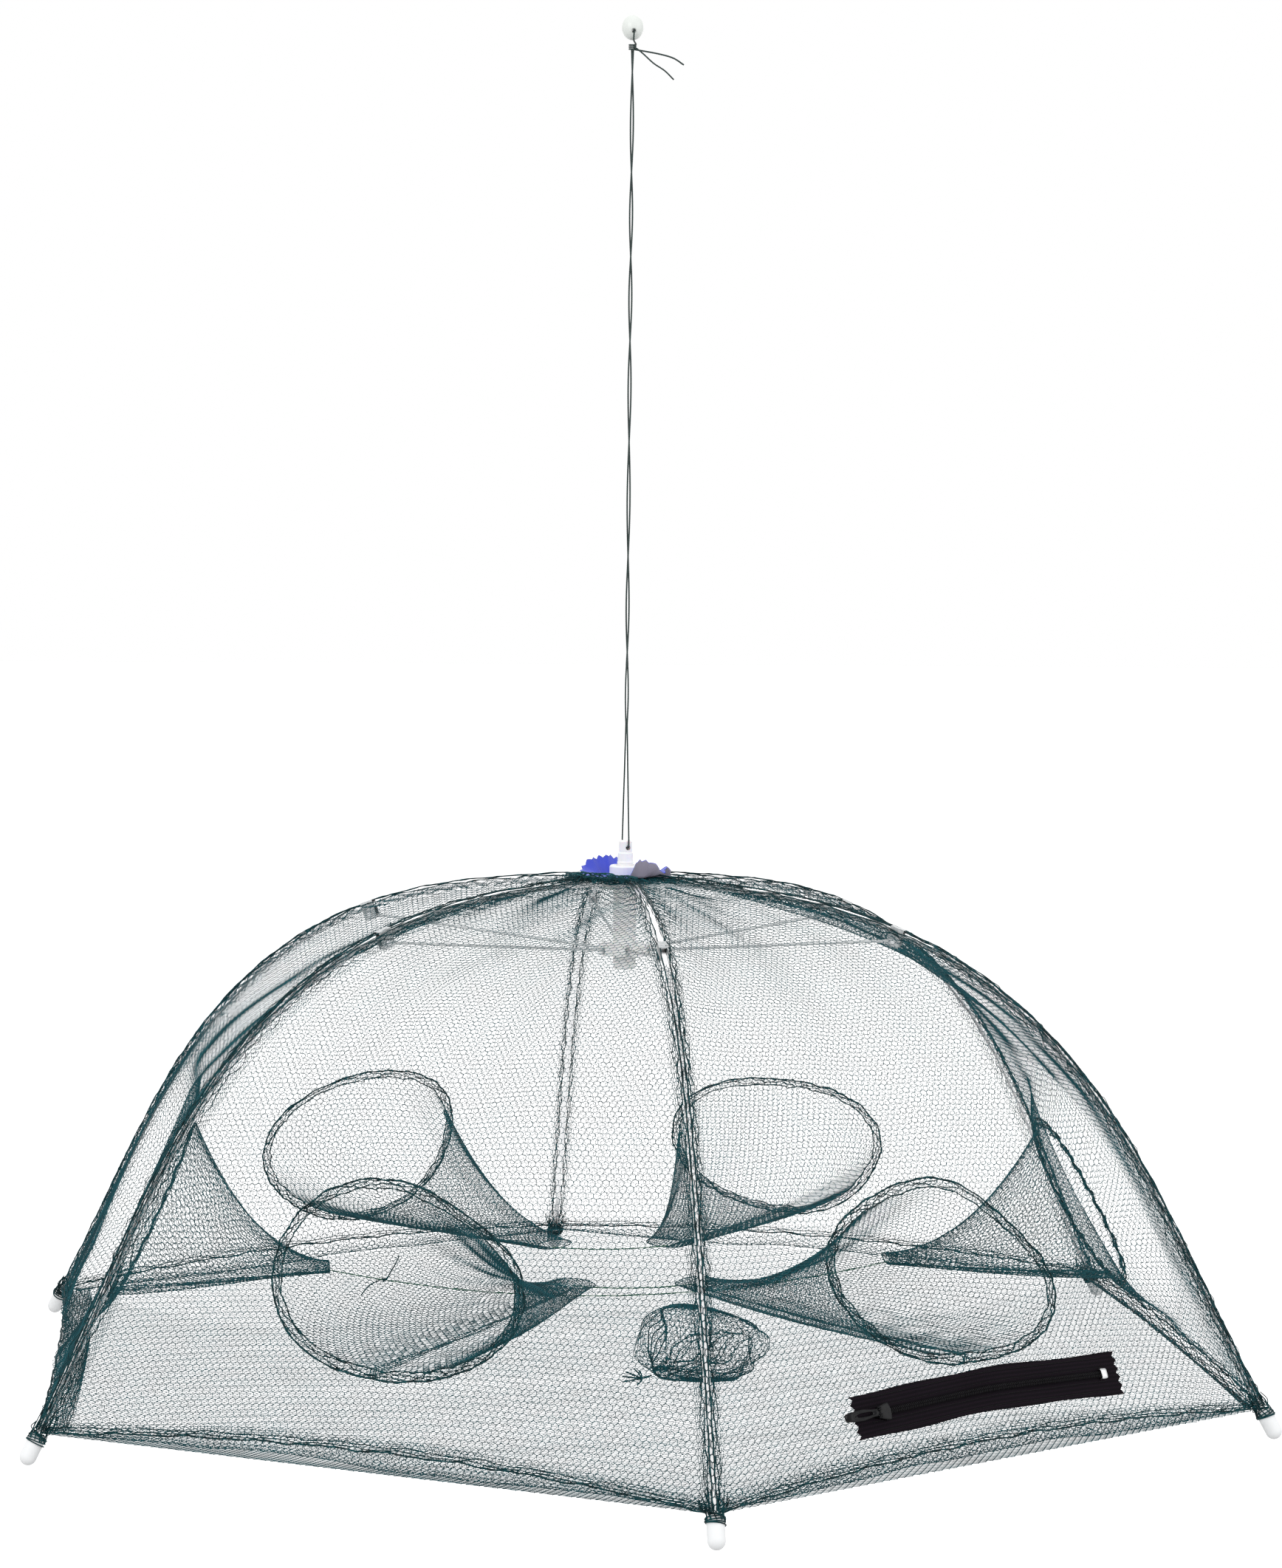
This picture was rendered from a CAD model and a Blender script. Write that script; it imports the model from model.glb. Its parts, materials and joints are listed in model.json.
"""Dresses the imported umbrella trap: netting, cords, zip, cloth and finishes, in a pale studio."""

import json
import logging
import math
from collections.abc import Iterable, Iterator
from dataclasses import dataclass
from enum import Enum
from functools import cached_property

import bpy
import numpy as np
from mathutils import Matrix


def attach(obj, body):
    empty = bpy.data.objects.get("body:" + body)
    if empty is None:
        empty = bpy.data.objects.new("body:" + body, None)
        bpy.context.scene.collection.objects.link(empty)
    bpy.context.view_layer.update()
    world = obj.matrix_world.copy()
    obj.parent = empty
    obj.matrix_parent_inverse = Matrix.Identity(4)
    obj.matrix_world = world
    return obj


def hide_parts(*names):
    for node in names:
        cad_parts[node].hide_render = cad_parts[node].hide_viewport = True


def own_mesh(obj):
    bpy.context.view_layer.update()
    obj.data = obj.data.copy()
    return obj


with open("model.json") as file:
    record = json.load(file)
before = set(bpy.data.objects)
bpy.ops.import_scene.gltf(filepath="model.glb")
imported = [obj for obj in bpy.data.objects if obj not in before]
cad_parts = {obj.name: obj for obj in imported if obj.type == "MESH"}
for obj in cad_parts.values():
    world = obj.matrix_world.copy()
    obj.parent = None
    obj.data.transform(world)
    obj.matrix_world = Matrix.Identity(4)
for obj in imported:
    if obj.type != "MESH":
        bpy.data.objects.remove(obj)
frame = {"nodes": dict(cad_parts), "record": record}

Array = np.ndarray
Triple = tuple[float, float, float]
Socket = bpy.types.NodeSocket
Tree = bpy.types.NodeTree
LOG = logging.getLogger("umbrella_trap")
SIDES = 6
RIPPLES = 4
TAU = math.tau
UP = np.array([0.0, 0.0, 1.0])


# Array helpers


def unit(vectors: Array) -> Array:
    """Each vector divided by its own length."""
    return vectors / np.maximum(np.linalg.norm(vectors, axis=-1, keepdims=True), 1e-12)


def smooth_step(value: Array) -> Array:
    """The cubic 3t^2 - 2t^3 of a value held between 0 and 1."""
    held = np.clip(value, 0.0, 1.0)
    return held * held * (3.0 - 2.0 * held)


def ripple(value: Array, seed: float) -> Array:
    """A repeatable unevenness between about -1 and 1.

    It is the sum of sines whose speeds grow by 1.7 from one to the next, each weaker by its
    number, with phases that come from the seed.
    """
    total = np.zeros_like(np.asarray(value, dtype=float))
    for order in range(1, RIPPLES + 1):
        speed = 1.7 ** (order - 1)
        total = total + np.sin(value * speed + seed * 12.9898 * order + 1.3 * order) / order
    return total / 1.6


def smooth_line(points: Array, count: int) -> Array:
    """A smooth line through points, evenly spaced.

    Each stretch is the Catmull-Rom cubic of its four nearest points; the dense line is then
    read again at equal steps of its own length.

    Args:
        points: the points that the line passes, one a row.
        count: how many points the result has.

    Returns:
        The evenly spaced points, one a row.
    """
    padded = np.vstack([2 * points[0] - points[1], points, 2 * points[-1] - points[-2]])
    stretches = len(points) - 1
    place = np.linspace(0.0, stretches, 24 * stretches + 1)
    index = np.minimum(place.astype(int), stretches - 1)
    t = (place - index)[:, None]
    p0, p1, p2, p3 = (padded[index + k] for k in range(4))
    dense = 0.5 * (2 * p1 + (p2 - p0) * t + (2 * p0 - 5 * p1 + 4 * p2 - p3) * t ** 2
                   + (3 * p1 - p0 - 3 * p2 + p3) * t ** 3)
    return even_line(dense, count)


def even_line(points: Array, count: int) -> Array:
    """The same line read at equal steps of its own length."""
    steps = np.linalg.norm(np.diff(points, axis=0), axis=1)
    along = np.concatenate([[0.0], np.cumsum(steps)])
    wanted = np.linspace(0.0, along[-1], count)
    return np.column_stack([np.interp(wanted, along, points[:, axis]) for axis in range(3)])


def ring_line(radius: Array | float, turn: Array, level: Array) -> Array:
    """Points about the middle line, from their radius, turn and level."""
    return np.column_stack([radius * np.cos(turn), radius * np.sin(turn), level])


# Surfaces and meshes


@dataclass
class Surface:
    """A mesh in the making: places, faces by their corner count, and flat coordinates."""

    places: Array
    faces: list[Array]
    flat: Array | None = None

    def flipped(self) -> "Surface":
        """The same surface with its faces turned round."""
        return Surface(self.places, [face[:, ::-1] for face in self.faces], self.flat)

    def moved(self, away: Array) -> "Surface":
        """The same surface somewhere else."""
        return Surface(self.places + away, self.faces, self.flat)

    @property
    def triangles(self) -> int:
        """How many triangles the faces make."""
        return sum(len(face) * (face.shape[1] - 2) for face in self.faces)


def join(surfaces: Iterable[Surface]) -> Surface:
    """Several surfaces without flat coordinates as one mesh."""
    places, faces, shift = [], [], 0
    for surface in surfaces:
        places.append(surface.places)
        faces += [face + shift for face in surface.faces]
        shift += len(surface.places)
    return Surface(np.vstack(places), faces)


def grid_faces(rows: int, columns: int, wrap: bool) -> Array:
    """Four-cornered faces of a grid whose points run row by row, closed on itself or not."""
    row, column = np.meshgrid(np.arange(rows - 1), np.arange(columns if wrap else columns - 1),
                              indexing="ij")
    after = (column + 1) % columns
    return np.stack([row * columns + column, row * columns + after,
                     (row + 1) * columns + after, (row + 1) * columns + column],
                    axis=-1).reshape(-1, 4)


def closed_ring(rows: Array) -> Surface:
    """A grid of points that is closed both ways, like a ring."""
    places = rows.reshape(-1, 3)
    return Surface(places, [grid_faces(len(rows) + 1, rows.shape[1], True) % len(places)])


def capped(rings: Array, ends: Array) -> Surface:
    """Rings of points joined row by row, each end closed by a fan to a point of its own."""
    rows, count = rings.shape[:2]
    places = np.vstack([rings.reshape(-1, 3), ends])
    here = np.arange(count)
    after = (here + 1) % count
    last = (rows - 1) * count
    start = np.column_stack([np.full(count, len(places) - 2), after, here])
    finish = np.column_stack([np.full(count, len(places) - 1), last + here, last + after])
    return Surface(places, [grid_faces(rows, count, True), start, finish])


def ring_tube(path: Array, radius: Array | float, sides: int = 5, guide: Array | Triple = UP,
              plies: int = 0, lay: float = 0.003, depth: float = 0.16) -> Surface:
    """A round profile carried along a path, closed at both ends.

    A point of ring s at angle a is path(s) + radius(s) * w(a, s) * (cos a * side + sin a *
    rise), where side and rise are square to the path. For laid twine w is 1 minus depth times
    the size of cos of half the plies times the angle, which turns once over each lay.

    Args:
        path: the centres of the rings.
        radius: one radius, or one for each ring.
        sides: how many corners a ring has.
        guide: a direction that the path never follows, which sets the rings' turn.
        plies: how many strands are laid round each other, or 0 for a plain tube.
        lay: the length of one full turn of the strands, metres.
        depth: how deep the grooves between them are, as a share of the radius.

    Returns:
        The tube.
    """
    ahead = unit(np.gradient(path, axis=0))
    side = unit(np.cross(np.asarray(guide, dtype=float), ahead))
    rise = np.cross(ahead, side)
    turn = np.linspace(0.0, TAU, sides, endpoint=False)
    along = np.concatenate([[0.0], np.cumsum(np.linalg.norm(np.diff(path, axis=0), axis=1))])
    size = np.broadcast_to(np.asarray(radius, dtype=float), (len(path),))[:, None]
    swell = np.ones((len(path), sides))
    if plies:
        swell = 1.0 - depth * np.abs(np.cos(plies / 2 * (turn[None, :] - TAU * along[:, None] / lay)))
    spread = (np.cos(turn)[None, :, None] * side[:, None, :]
              + np.sin(turn)[None, :, None] * rise[:, None, :])
    rings = path[:, None, :] + (size * swell)[:, :, None] * spread
    return capped(rings, path[[0, -1]])


def turned_body(profile: Array, steps: int) -> Surface:
    """A profile of radius and height turned about Z; its first and last radius are 0.

    Point (s, a) is (r(s) cos a, r(s) sin a, z(s)), with one point at each pole.
    """
    turn = np.linspace(0.0, TAU, steps, endpoint=False)
    inner = profile[1:-1]
    rings = np.stack([inner[:, :1] * np.cos(turn), inner[:, :1] * np.sin(turn),
                      np.repeat(inner[:, 1:], steps, axis=1)], axis=-1)
    return capped(rings, profile[[0, -1], 1:] * UP).flipped()


def slab(top: Array, bottom: Array, wrap: bool = False, flat: Array | None = None) -> Surface:
    """A closed sheet between two grids of points of the same size.

    Args:
        top: rows by columns by 3, the outer side.
        bottom: the other side, point under point.
        wrap: whether the columns close on themselves.
        flat: rows by columns by 2, the surface's own coordinates.

    Returns:
        The sheet with its edges closed.
    """
    rows, columns = top.shape[:2]
    count = rows * columns
    upper = grid_faces(rows, columns, wrap)
    lower = upper[:, ::-1] + count
    index = np.arange(count).reshape(rows, columns)
    across = columns if wrap else columns - 1
    step = (np.arange(across) + 1) % columns
    edges = [(index[0, step], index[0, :across]), (index[-1, :across], index[-1, step])]
    if not wrap:
        edges += [(index[:-1, 0], index[1:, 0]), (index[1:, -1], index[:-1, -1])]
    rims = [np.column_stack([a, b, b + count, a + count]) for a, b in edges]
    coordinates = None if flat is None else np.tile(flat.reshape(-1, 2), (2, 1))
    places = np.vstack([top.reshape(-1, 3), bottom.reshape(-1, 3)])
    return Surface(places, [upper, lower] + rims, coordinates)


def placed(surface: Surface, matrix: Array, place: Array) -> Surface:
    """The surface with its places turned by a matrix whose columns are its axes, then moved."""
    return Surface(surface.places @ matrix.T + place, surface.faces, surface.flat)


def linked(name: str, data: bpy.types.ID) -> bpy.types.Object:
    """A new object in the scene, at the origin."""
    made = bpy.data.objects.new(name, data)
    bpy.context.scene.collection.objects.link(made)
    return made


# Finishes


def combined(tree: Tree, operation: str, first: Socket, second: Socket | float) -> Socket:
    """One socket combined with another one, or with a number, by the named operation."""
    node = tree.nodes.new("ShaderNodeMath")
    node.operation = operation
    tree.links.new(first, node.inputs[0])
    if isinstance(second, float):
        node.inputs[1].default_value = second
    else:
        tree.links.new(second, node.inputs[1])
    return node.outputs["Value"]


class Grain(Enum):
    """What a finish's surface is like close up."""

    MOTTLED = "mottled"
    BRUSHED = "brushed"
    WOVEN = "woven"
    TAPE = "tape"


@dataclass(frozen=True)
class Finish:
    """One material: a colour, a second one that it drifts to, and its grain."""

    name: str
    colour: Triple
    second: Triple
    roughness: float = 0.5
    metallic: float = 0.0
    grain: Grain = Grain.MOTTLED
    size: float = 0.004
    depth: float = 0.15
    coat: float = 0.0
    sheen: float = 0.0
    glow: float = 0.0
    clear: float = 0.0
    soften: float = 0.0
    gloss: float = 0.5

    def material(self) -> bpy.types.Material:
        """The Blender material, made once and then shared."""
        known = bpy.data.materials.get(self.name)
        if known:
            return known
        made = bpy.data.materials.new(self.name)
        made.use_nodes = True
        made.diffuse_color = (*self.colour, 1.0)
        tree = made.node_tree
        shader = tree.nodes["Principled BSDF"]
        for name, value in (
                ("Base Color", made.diffuse_color), ("Roughness", self.roughness),
                ("Metallic", self.metallic), ("Specular IOR Level", self.gloss),
                ("Coat Weight", self.coat), ("Coat Roughness", 0.12),
                ("Sheen Weight", self.sheen), ("Subsurface Weight", self.glow),
                ("Subsurface Scale", 0.004), ("Transmission Weight", self.clear)):
            shader.inputs[name].default_value = value
        self._relief(tree, shader, self._grain(tree, shader))
        return made

    def _grain(self, tree: Tree, shader: bpy.types.Node) -> Socket:
        """Drives the colour by the grain and returns the grain's height."""
        source = tree.nodes.new("ShaderNodeTexCoord")
        if self.grain in (Grain.WOVEN, Grain.TAPE):
            height = self._threads(tree, source.outputs["UV"])
        else:
            spread = tree.nodes.new("ShaderNodeMapping")
            stretch = (1.0, 1.0, 0.08) if self.grain is Grain.BRUSHED else (1.0, 1.0, 1.0)
            spread.inputs["Scale"].default_value = stretch
            tree.links.new(source.outputs["Object"], spread.inputs["Vector"])
            noise = tree.nodes.new("ShaderNodeTexNoise")
            noise.inputs["Scale"].default_value = 1.0 / self.size
            noise.inputs["Detail"].default_value = 3.0
            tree.links.new(spread.outputs["Vector"], noise.inputs["Vector"])
            height = noise.outputs["Fac"]
        ramp = tree.nodes.new("ShaderNodeValToRGB")
        for stop, place, colour in zip(ramp.color_ramp.elements, (0.36, 0.66),
                                       (self.colour, self.second)):
            stop.position = place
            stop.color = (*colour, 1.0)
        tree.links.new(height, ramp.inputs["Fac"])
        tree.links.new(ramp.outputs["Color"], shader.inputs["Base Color"])
        return height

    def _threads(self, tree: Tree, flat: Socket) -> Socket:
        """Crossed threads over the surface's own coordinates, and ribs along a tape."""
        waves = []
        ratio = 3.0 if self.grain is Grain.TAPE else 1.0
        for axis, size in (("X", self.size), ("Y", self.size * ratio)):
            wave = tree.nodes.new("ShaderNodeTexWave")
            wave.bands_direction = axis
            wave.inputs["Scale"].default_value = 0.314 / size
            wave.inputs["Distortion"].default_value = 0.4
            tree.links.new(flat, wave.inputs["Vector"])
            waves.append(wave.outputs["Fac"])
        return combined(tree, "MULTIPLY", *waves)

    def _relief(self, tree: Tree, shader: bpy.types.Node, height: Socket) -> None:
        """Adds the grain's bumps, and softens hard corners where the finish asks for it."""
        bump = tree.nodes.new("ShaderNodeBump")
        bump.inputs["Strength"].default_value = self.depth
        bump.inputs["Distance"].default_value = 0.0006
        tree.links.new(height, bump.inputs["Height"])
        if self.soften > 0.0:
            soft = tree.nodes.new("ShaderNodeBevel")
            soft.samples = 4
            soft.inputs["Radius"].default_value = self.soften
            tree.links.new(soft.outputs["Normal"], bump.inputs["Normal"])
        tree.links.new(bump.outputs["Normal"], shader.inputs["Normal"])


MESH_TWINE = Finish("mesh_twine", (0.003, 0.038, 0.048), (0.008, 0.088, 0.108), 0.62, size=0.02,
                    depth=0.0, gloss=0.12)
GATHERED_TWINE = Finish("gathered_twine", (0.012, 0.095, 0.112), (0.004, 0.030, 0.038), 0.6,
                        size=0.006, depth=0.0, gloss=0.12)
DARK_TWINE = Finish("dark_twine", (0.0016, 0.011, 0.013), (0.005, 0.055, 0.064), 0.6, size=0.005,
                    depth=0.0, gloss=0.12)
PULL_TWINE = Finish("pull_twine", (0.006, 0.016, 0.015), (0.018, 0.045, 0.040), 0.75, size=0.0009,
                    depth=0.3, sheen=0.2)
GREEN_STRING = Finish("green_string", (0.010, 0.075, 0.036), (0.020, 0.130, 0.065), 0.6, size=0.002)
RIB_STEEL = Finish("bright_rib_steel", (0.93, 0.93, 0.93), (0.84, 0.84, 0.85), 0.22, 1.0,
                   Grain.BRUSHED, 0.003, 0.05)
ZINC = Finish("dull_zinc", (0.40, 0.42, 0.43), (0.56, 0.57, 0.57), 0.42, 1.0, Grain.MOTTLED, 0.0018,
              0.12)
RIVET_STEEL = Finish("rivet_steel", (0.60, 0.58, 0.57), (0.42, 0.38, 0.36), 0.34, 1.0, Grain.MOTTLED,
                     0.0015, 0.1)
WHITE_PLASTIC = Finish("white_moulding", (0.93, 0.925, 0.92), (0.91, 0.905, 0.90), 0.38, size=0.01,
                       depth=0.02, glow=0.15, soften=0.0005)
CAP_PLASTIC = Finish("cap_plastic", (0.87, 0.87, 0.88), (0.84, 0.84, 0.855), 0.32, size=0.006,
                     depth=0.02, glow=0.15)
BEAD_PLASTIC = Finish("bead_plastic", (0.88, 0.87, 0.86), (0.84, 0.83, 0.82), 0.25, size=0.005,
                      depth=0.03, coat=0.3, glow=0.5, clear=0.25)
BLUE_COATING = Finish("blue_coating", (0.030, 0.055, 0.560), (0.045, 0.085, 0.680), 0.42,
                      grain=Grain.WOVEN, size=0.0007, depth=0.25, sheen=0.15)
GREY_LINING = Finish("grey_lining", (0.360, 0.330, 0.430), (0.430, 0.400, 0.500), 0.6,
                     grain=Grain.WOVEN, size=0.0007, depth=0.3)
TAPE_BLACK = Finish("tape_black", (0.003, 0.0016, 0.0035), (0.011, 0.0055, 0.011), 0.9,
                    grain=Grain.TAPE, size=0.0008, depth=0.35, gloss=0.12)
COIL_BLACK = Finish("coil_black", (0.002, 0.0015, 0.0025), (0.005, 0.004, 0.006), 0.34, size=0.003,
                    depth=0.0, gloss=0.16)
ENAMEL_BLACK = Finish("enamel_black", (0.003, 0.003, 0.004), (0.006, 0.006, 0.007), 0.12,
                      size=0.003, depth=0.02, gloss=0.16)
STOP_METAL = Finish("stop_metal", (0.50, 0.51, 0.52), (0.62, 0.62, 0.62), 0.3, 1.0, Grain.MOTTLED,
                    0.001, 0.1)

CAD_FINISHES = {
    "white_plastic": WHITE_PLASTIC,
    "cap_plastic": CAP_PLASTIC,
    "rib_steel": RIB_STEEL,
    "rivet_steel": RIVET_STEEL,
    "zinc_steel": ZINC,
    "zip_black": ENAMEL_BLACK,
    "zip_stop": STOP_METAL,
}


@dataclass
class Fold:
    """How a soft piece flattens while the hub slides: along which axis, towards what place."""

    axis: Triple
    anchor: Triple
    keep: float


@dataclass
class Piece:
    """What a finished piece is called, what it rides on and what it stands for."""

    name: str
    body: str
    slot: str
    finish: Finish
    replaces: tuple[str, ...] = ()
    fold: Fold | None = None
    smooth: bool = True

    def make(self, surface: Surface) -> bpy.types.Object:
        """Turns the surface into the finished object, riding on its body.

        Args:
            surface: the piece's mesh, in place.

        Returns:
            The object.
        """
        data = bpy.data.meshes.new(self.name)
        faces = [face.tolist() for face in surface.faces]
        data.from_pydata(surface.places.tolist(), [], sum(faces, []))
        if surface.flat is not None:
            layer = data.uv_layers.new(name="flat")
            corners = np.empty(len(data.loops), dtype=np.int32)
            data.loops.foreach_get("vertex_index", corners)
            layer.data.foreach_set("uv", surface.flat[corners].astype(np.float32).ravel())
        data.polygons.foreach_set("use_smooth", np.full(len(data.polygons), self.smooth))
        data.materials.append(self.finish.material())
        data.update()
        made = linked(self.name, data)
        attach(made, self.body)
        if self.replaces:
            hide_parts(*self.replaces)
        if self.fold:
            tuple(self.fold.axis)
            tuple(self.fold.anchor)
            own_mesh(made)
        LOG.info("%s: %d triangles on %s", self.name, surface.triangles, self.body)
        return made


def netting(name: str, body: str, finish: Finish, fold: Fold | None, surface: Surface,
            *replaces: str) -> None:
    """Makes a piece of netting: bunched strands look smooth, single ones keep their edges."""
    Piece(name, body, "netting", finish, replaces, fold, finish is not MESH_TWINE).make(surface)


# The open trap's form


@dataclass(frozen=True)
class Dome:
    """The open trap's curves and levels, the same as those of its solids."""

    drop: float = 0.546
    ring_radius: float = 0.012
    rib_length: float = 0.5576
    start_tilt: float = math.radians(-2.0)
    end_tilt: float = math.radians(59.51)
    bulge: float = 0.2106
    skew: float = -0.1391
    steps: int = 400
    rim_radius: float = 0.0162
    top_radius: float = 0.0090
    top_level: float = 0.0034
    top_blend: float = 0.12
    rib_gap: float = 0.0027
    clip_gap: float = 0.0036
    clip_share: float = 0.3118
    clip_zone: float = 0.12
    dip: float = 0.012
    dip_end: float = 0.62
    cap_grip: float = 0.0060
    hem_clearance: float = 0.0012
    mouth_rise: float = 0.099

    @cached_property
    def table(self) -> tuple[Array, Array, Array, Array]:
        """Share, out, up and tilt along a rib: out and up add up the cos and sin of the tilt."""
        share = np.linspace(0.0, 1.0, self.steps + 1)
        tilt = (self.start_tilt + (self.end_tilt - self.start_tilt) * share
                + self.bulge * np.sin(math.pi * share) + self.skew * np.sin(TAU * share))
        middle = 0.5 * (tilt[1:] + tilt[:-1])
        step = self.rib_length / self.steps
        out = np.concatenate(([0.0], np.cumsum(np.cos(middle) * step)))
        up = -np.concatenate(([0.0], np.cumsum(np.sin(middle) * step)))
        return share, out, up, tilt

    @property
    def net_end(self) -> float:
        """Share of the rib at which the side netting ends."""
        return 1.0 - (self.cap_grip + self.hem_clearance) / self.rib_length

    @property
    def mouth_share(self) -> float:
        """Share of the rib level with the middle of the entrances."""
        share, _, up, _ = self.table
        return float(np.interp(-(up[-1] + self.mouth_rise), -up, share))

    @property
    def foot_level(self) -> float:
        """Height of the ribs' lower ends, from the hub."""
        return float(self.table[2][-1])

    def azimuth(self, side: float) -> float:
        """Direction of a rib, counted from the front one."""
        return -math.pi / 2 + side * math.pi / 3

    def radial(self, side: float) -> Array:
        """Outward direction over a rib, level."""
        return np.array([math.cos(self.azimuth(side)), math.sin(self.azimuth(side)), 0.0])

    def tangent(self, side: float) -> Array:
        """Direction square to a rib's own plane, level."""
        return np.cross(UP, self.radial(side))

    def fold(self, axis: Array | tuple[float, ...], keep: float) -> Fold:
        """A fold along an axis towards the stem's middle line."""
        return Fold(tuple(axis), (0.0, 0.0, -self.drop), keep)

    def rib(self, share: Array) -> tuple[Array, Array, Array]:
        """Out, up and tilt of a rib's middle line at shares of its length."""
        known, out, up, tilt = self.table
        return (np.interp(share, known, out), np.interp(share, known, up),
                np.interp(share, known, tilt))

    def outward(self, rib: float, share: Array) -> Array:
        """Directions square to a rib, away from the trap."""
        _, _, tilt = self.rib(share)
        return np.sin(tilt)[:, None] * self.radial(rib) + np.cos(tilt)[:, None] * UP

    def rib_line(self, side: float, share: Array, lift: Array | float = 0.0) -> Array:
        """Places on a rib's middle line, lifted square to it."""
        out, up, tilt = self.rib(share)
        radius = self.ring_radius + out + lift * np.sin(tilt)
        level = up + lift * np.cos(tilt) - self.drop
        return radius[:, None] * self.radial(side) + level[:, None] * UP

    def side_line(self, side: float, share: Array, sign: float) -> Array:
        """Places beside a rib, on the netting's edge.

        Under the hub's rim the radius grows evenly and the level stays; beyond it both follow
        the rib. The gap beside the rib widens smoothly where the clip sits.
        """
        out, up, _ = self.rib(share)
        rim = (self.rim_radius - self.ring_radius) / self.rib_length
        under = share < rim
        radius = np.where(under, self.top_radius + (self.rim_radius - self.top_radius) * share / rim,
                          self.ring_radius + out)
        fade = np.clip(1.0 - (share - rim) / self.top_blend, 0.0, 1.0)
        level = np.where(under, self.top_level, up + self.top_level * fade)
        near = smooth_step(1.8 - 1.5 * np.abs(share - self.clip_share) / self.clip_zone)
        gap = self.rib_gap + (self.clip_gap - self.rib_gap) * near
        return (radius[:, None] * self.radial(side) + sign * gap[:, None] * self.tangent(side)
                + (level - self.drop)[:, None] * UP)

    def inward(self, side: float, share: Array) -> Array:
        """Directions into the trap, square to a side panel's slope."""
        return -self.outward(side + 0.5, share)

    def panel(self, side: float, across: Array, share: Array) -> Array:
        """Places of a side panel: straight from rib to rib, dipped inwards by a parabola."""
        first = self.side_line(side, share, 1.0)
        second = self.side_line(side + 1, share, -1.0)
        place = first + (second - first) * across[:, None]
        slack = np.sin(math.pi * np.minimum(1.0, share / self.dip_end)) * 4 * across * (1 - across)
        return place + self.inward(side, share) * (self.dip * slack)[:, None]

    def panel_axes(self, side: float, share: float) -> tuple[Array, Array]:
        """A panel's middle at a share of the rib, and its axes: along, up the slope, outward.

        Args:
            side: the panel's number.
            share: how far down the rib.

        Returns:
            The place, and a matrix whose columns are the three axes.
        """
        shares = np.array([share, share - 0.025, share + 0.025, share, share])
        across = np.array([0.5, 0.5, 0.5, 0.1, 0.9])
        spots = self.panel(side, across, shares)
        slope = unit(spots[1] - spots[2])
        along = unit(spots[4] - spots[3])
        return spots[0], np.column_stack([along, slope, np.cross(along, slope)])


# Netting


@dataclass(frozen=True)
class Weave:
    """Knotted netting: six-sided gaps between short twisted strands."""

    pitch: float = 0.0044
    twine: float = 0.000222

    def honeycomb(self, low: tuple[float, float], high: tuple[float, float],
                  turn: float) -> tuple[Array, Array]:
        """The strands of a honeycomb over a flat rectangle, as their two ends.

        Every second knot lies on a triangular lattice of the pitch; from each of them three
        strands of pitch / sqrt 3 leave at 120 degrees to each other, all turned by one angle.

        Args:
            low: the rectangle's lower corner.
            high: its upper corner.
            turn: the angle of the lattice.

        Returns:
            Starts and ends, two numbers a row.
        """
        centre = (np.array(low) + np.array(high)) / 2
        reach = np.linalg.norm(np.array(high) - np.array(low)) / 2 + self.pitch
        count = int(math.ceil(reach / (self.pitch * math.sqrt(3) / 2)))
        i, j = np.meshgrid(np.arange(-2 * count, 2 * count + 1), np.arange(-count, count + 1),
                           indexing="ij")
        x = (i + 0.5 * (j % 2)) * self.pitch
        y = j * self.pitch * math.sqrt(3) / 2
        knots = np.column_stack([x.ravel(), y.ravel()])
        near = (np.abs(knots) < reach + self.pitch).all(axis=1)
        knots = knots[near]
        length = self.pitch / math.sqrt(3)
        angles = np.radians([90.0, 210.0, 330.0])
        away = length * np.column_stack([np.cos(angles), np.sin(angles)])
        starts = np.repeat(knots, 3, axis=0)
        ends = starts + np.tile(away, (len(knots), 1))
        spin = np.array([[math.cos(turn), -math.sin(turn)], [math.sin(turn), math.cos(turn)]])
        starts = starts @ spin.T + centre
        ends = ends @ spin.T + centre
        middle = (starts + ends) / 2
        inside = ((middle >= low) & (middle <= high)).all(axis=1)
        return starts[inside], ends[inside]

    def strands(self, starts: Array, ends: Array, normals: Array,
                size: Array | float = 1.0) -> Surface:
        """Short twisted strands: at one end an edge leans one way, at the other the other way.

        The four corners start + r(n + s) / sqrt 2, start - the same, end + r(n - s) / sqrt 2 and
        end - the same make a closed body of four triangles, where n is the netting's normal and
        s is square to it and to the strand.

        Args:
            starts: places of the strands' starts.
            ends: places of their ends.
            normals: the netting's normals there.
            size: thickness against this weave's twine.

        Returns:
            All strands as one surface.
        """
        ahead = unit(ends - starts)
        normal = unit(normals - ahead * (normals * ahead).sum(axis=1, keepdims=True))
        side = np.cross(ahead, normal)
        radius = np.broadcast_to(np.asarray(size, dtype=float) * self.twine, (len(starts),))[:, None]
        one = radius * (normal + side) / math.sqrt(2)
        two = radius * (normal - side) / math.sqrt(2)
        places = np.stack([starts + one, starts - one, ends + two, ends - two], axis=1).reshape(-1, 3)
        first = 4 * np.arange(len(starts))[:, None, None]
        corners = np.array([[0, 2, 1], [0, 1, 3], [0, 3, 2], [1, 2, 3]])[None, :, :]
        return Surface(places, [(first + corners).reshape(-1, 3)])


def tucked(distance: Array, extra: Array | float, band: float) -> Array:
    """Distance from an edge after the netting's extra width is gathered into a band there.

    Within the band the netting is squeezed evenly; beyond it the distance is less by the extra.
    """
    squeezed = distance * band / (band + extra)
    return np.where(distance < band + extra, squeezed, distance - extra)


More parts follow.
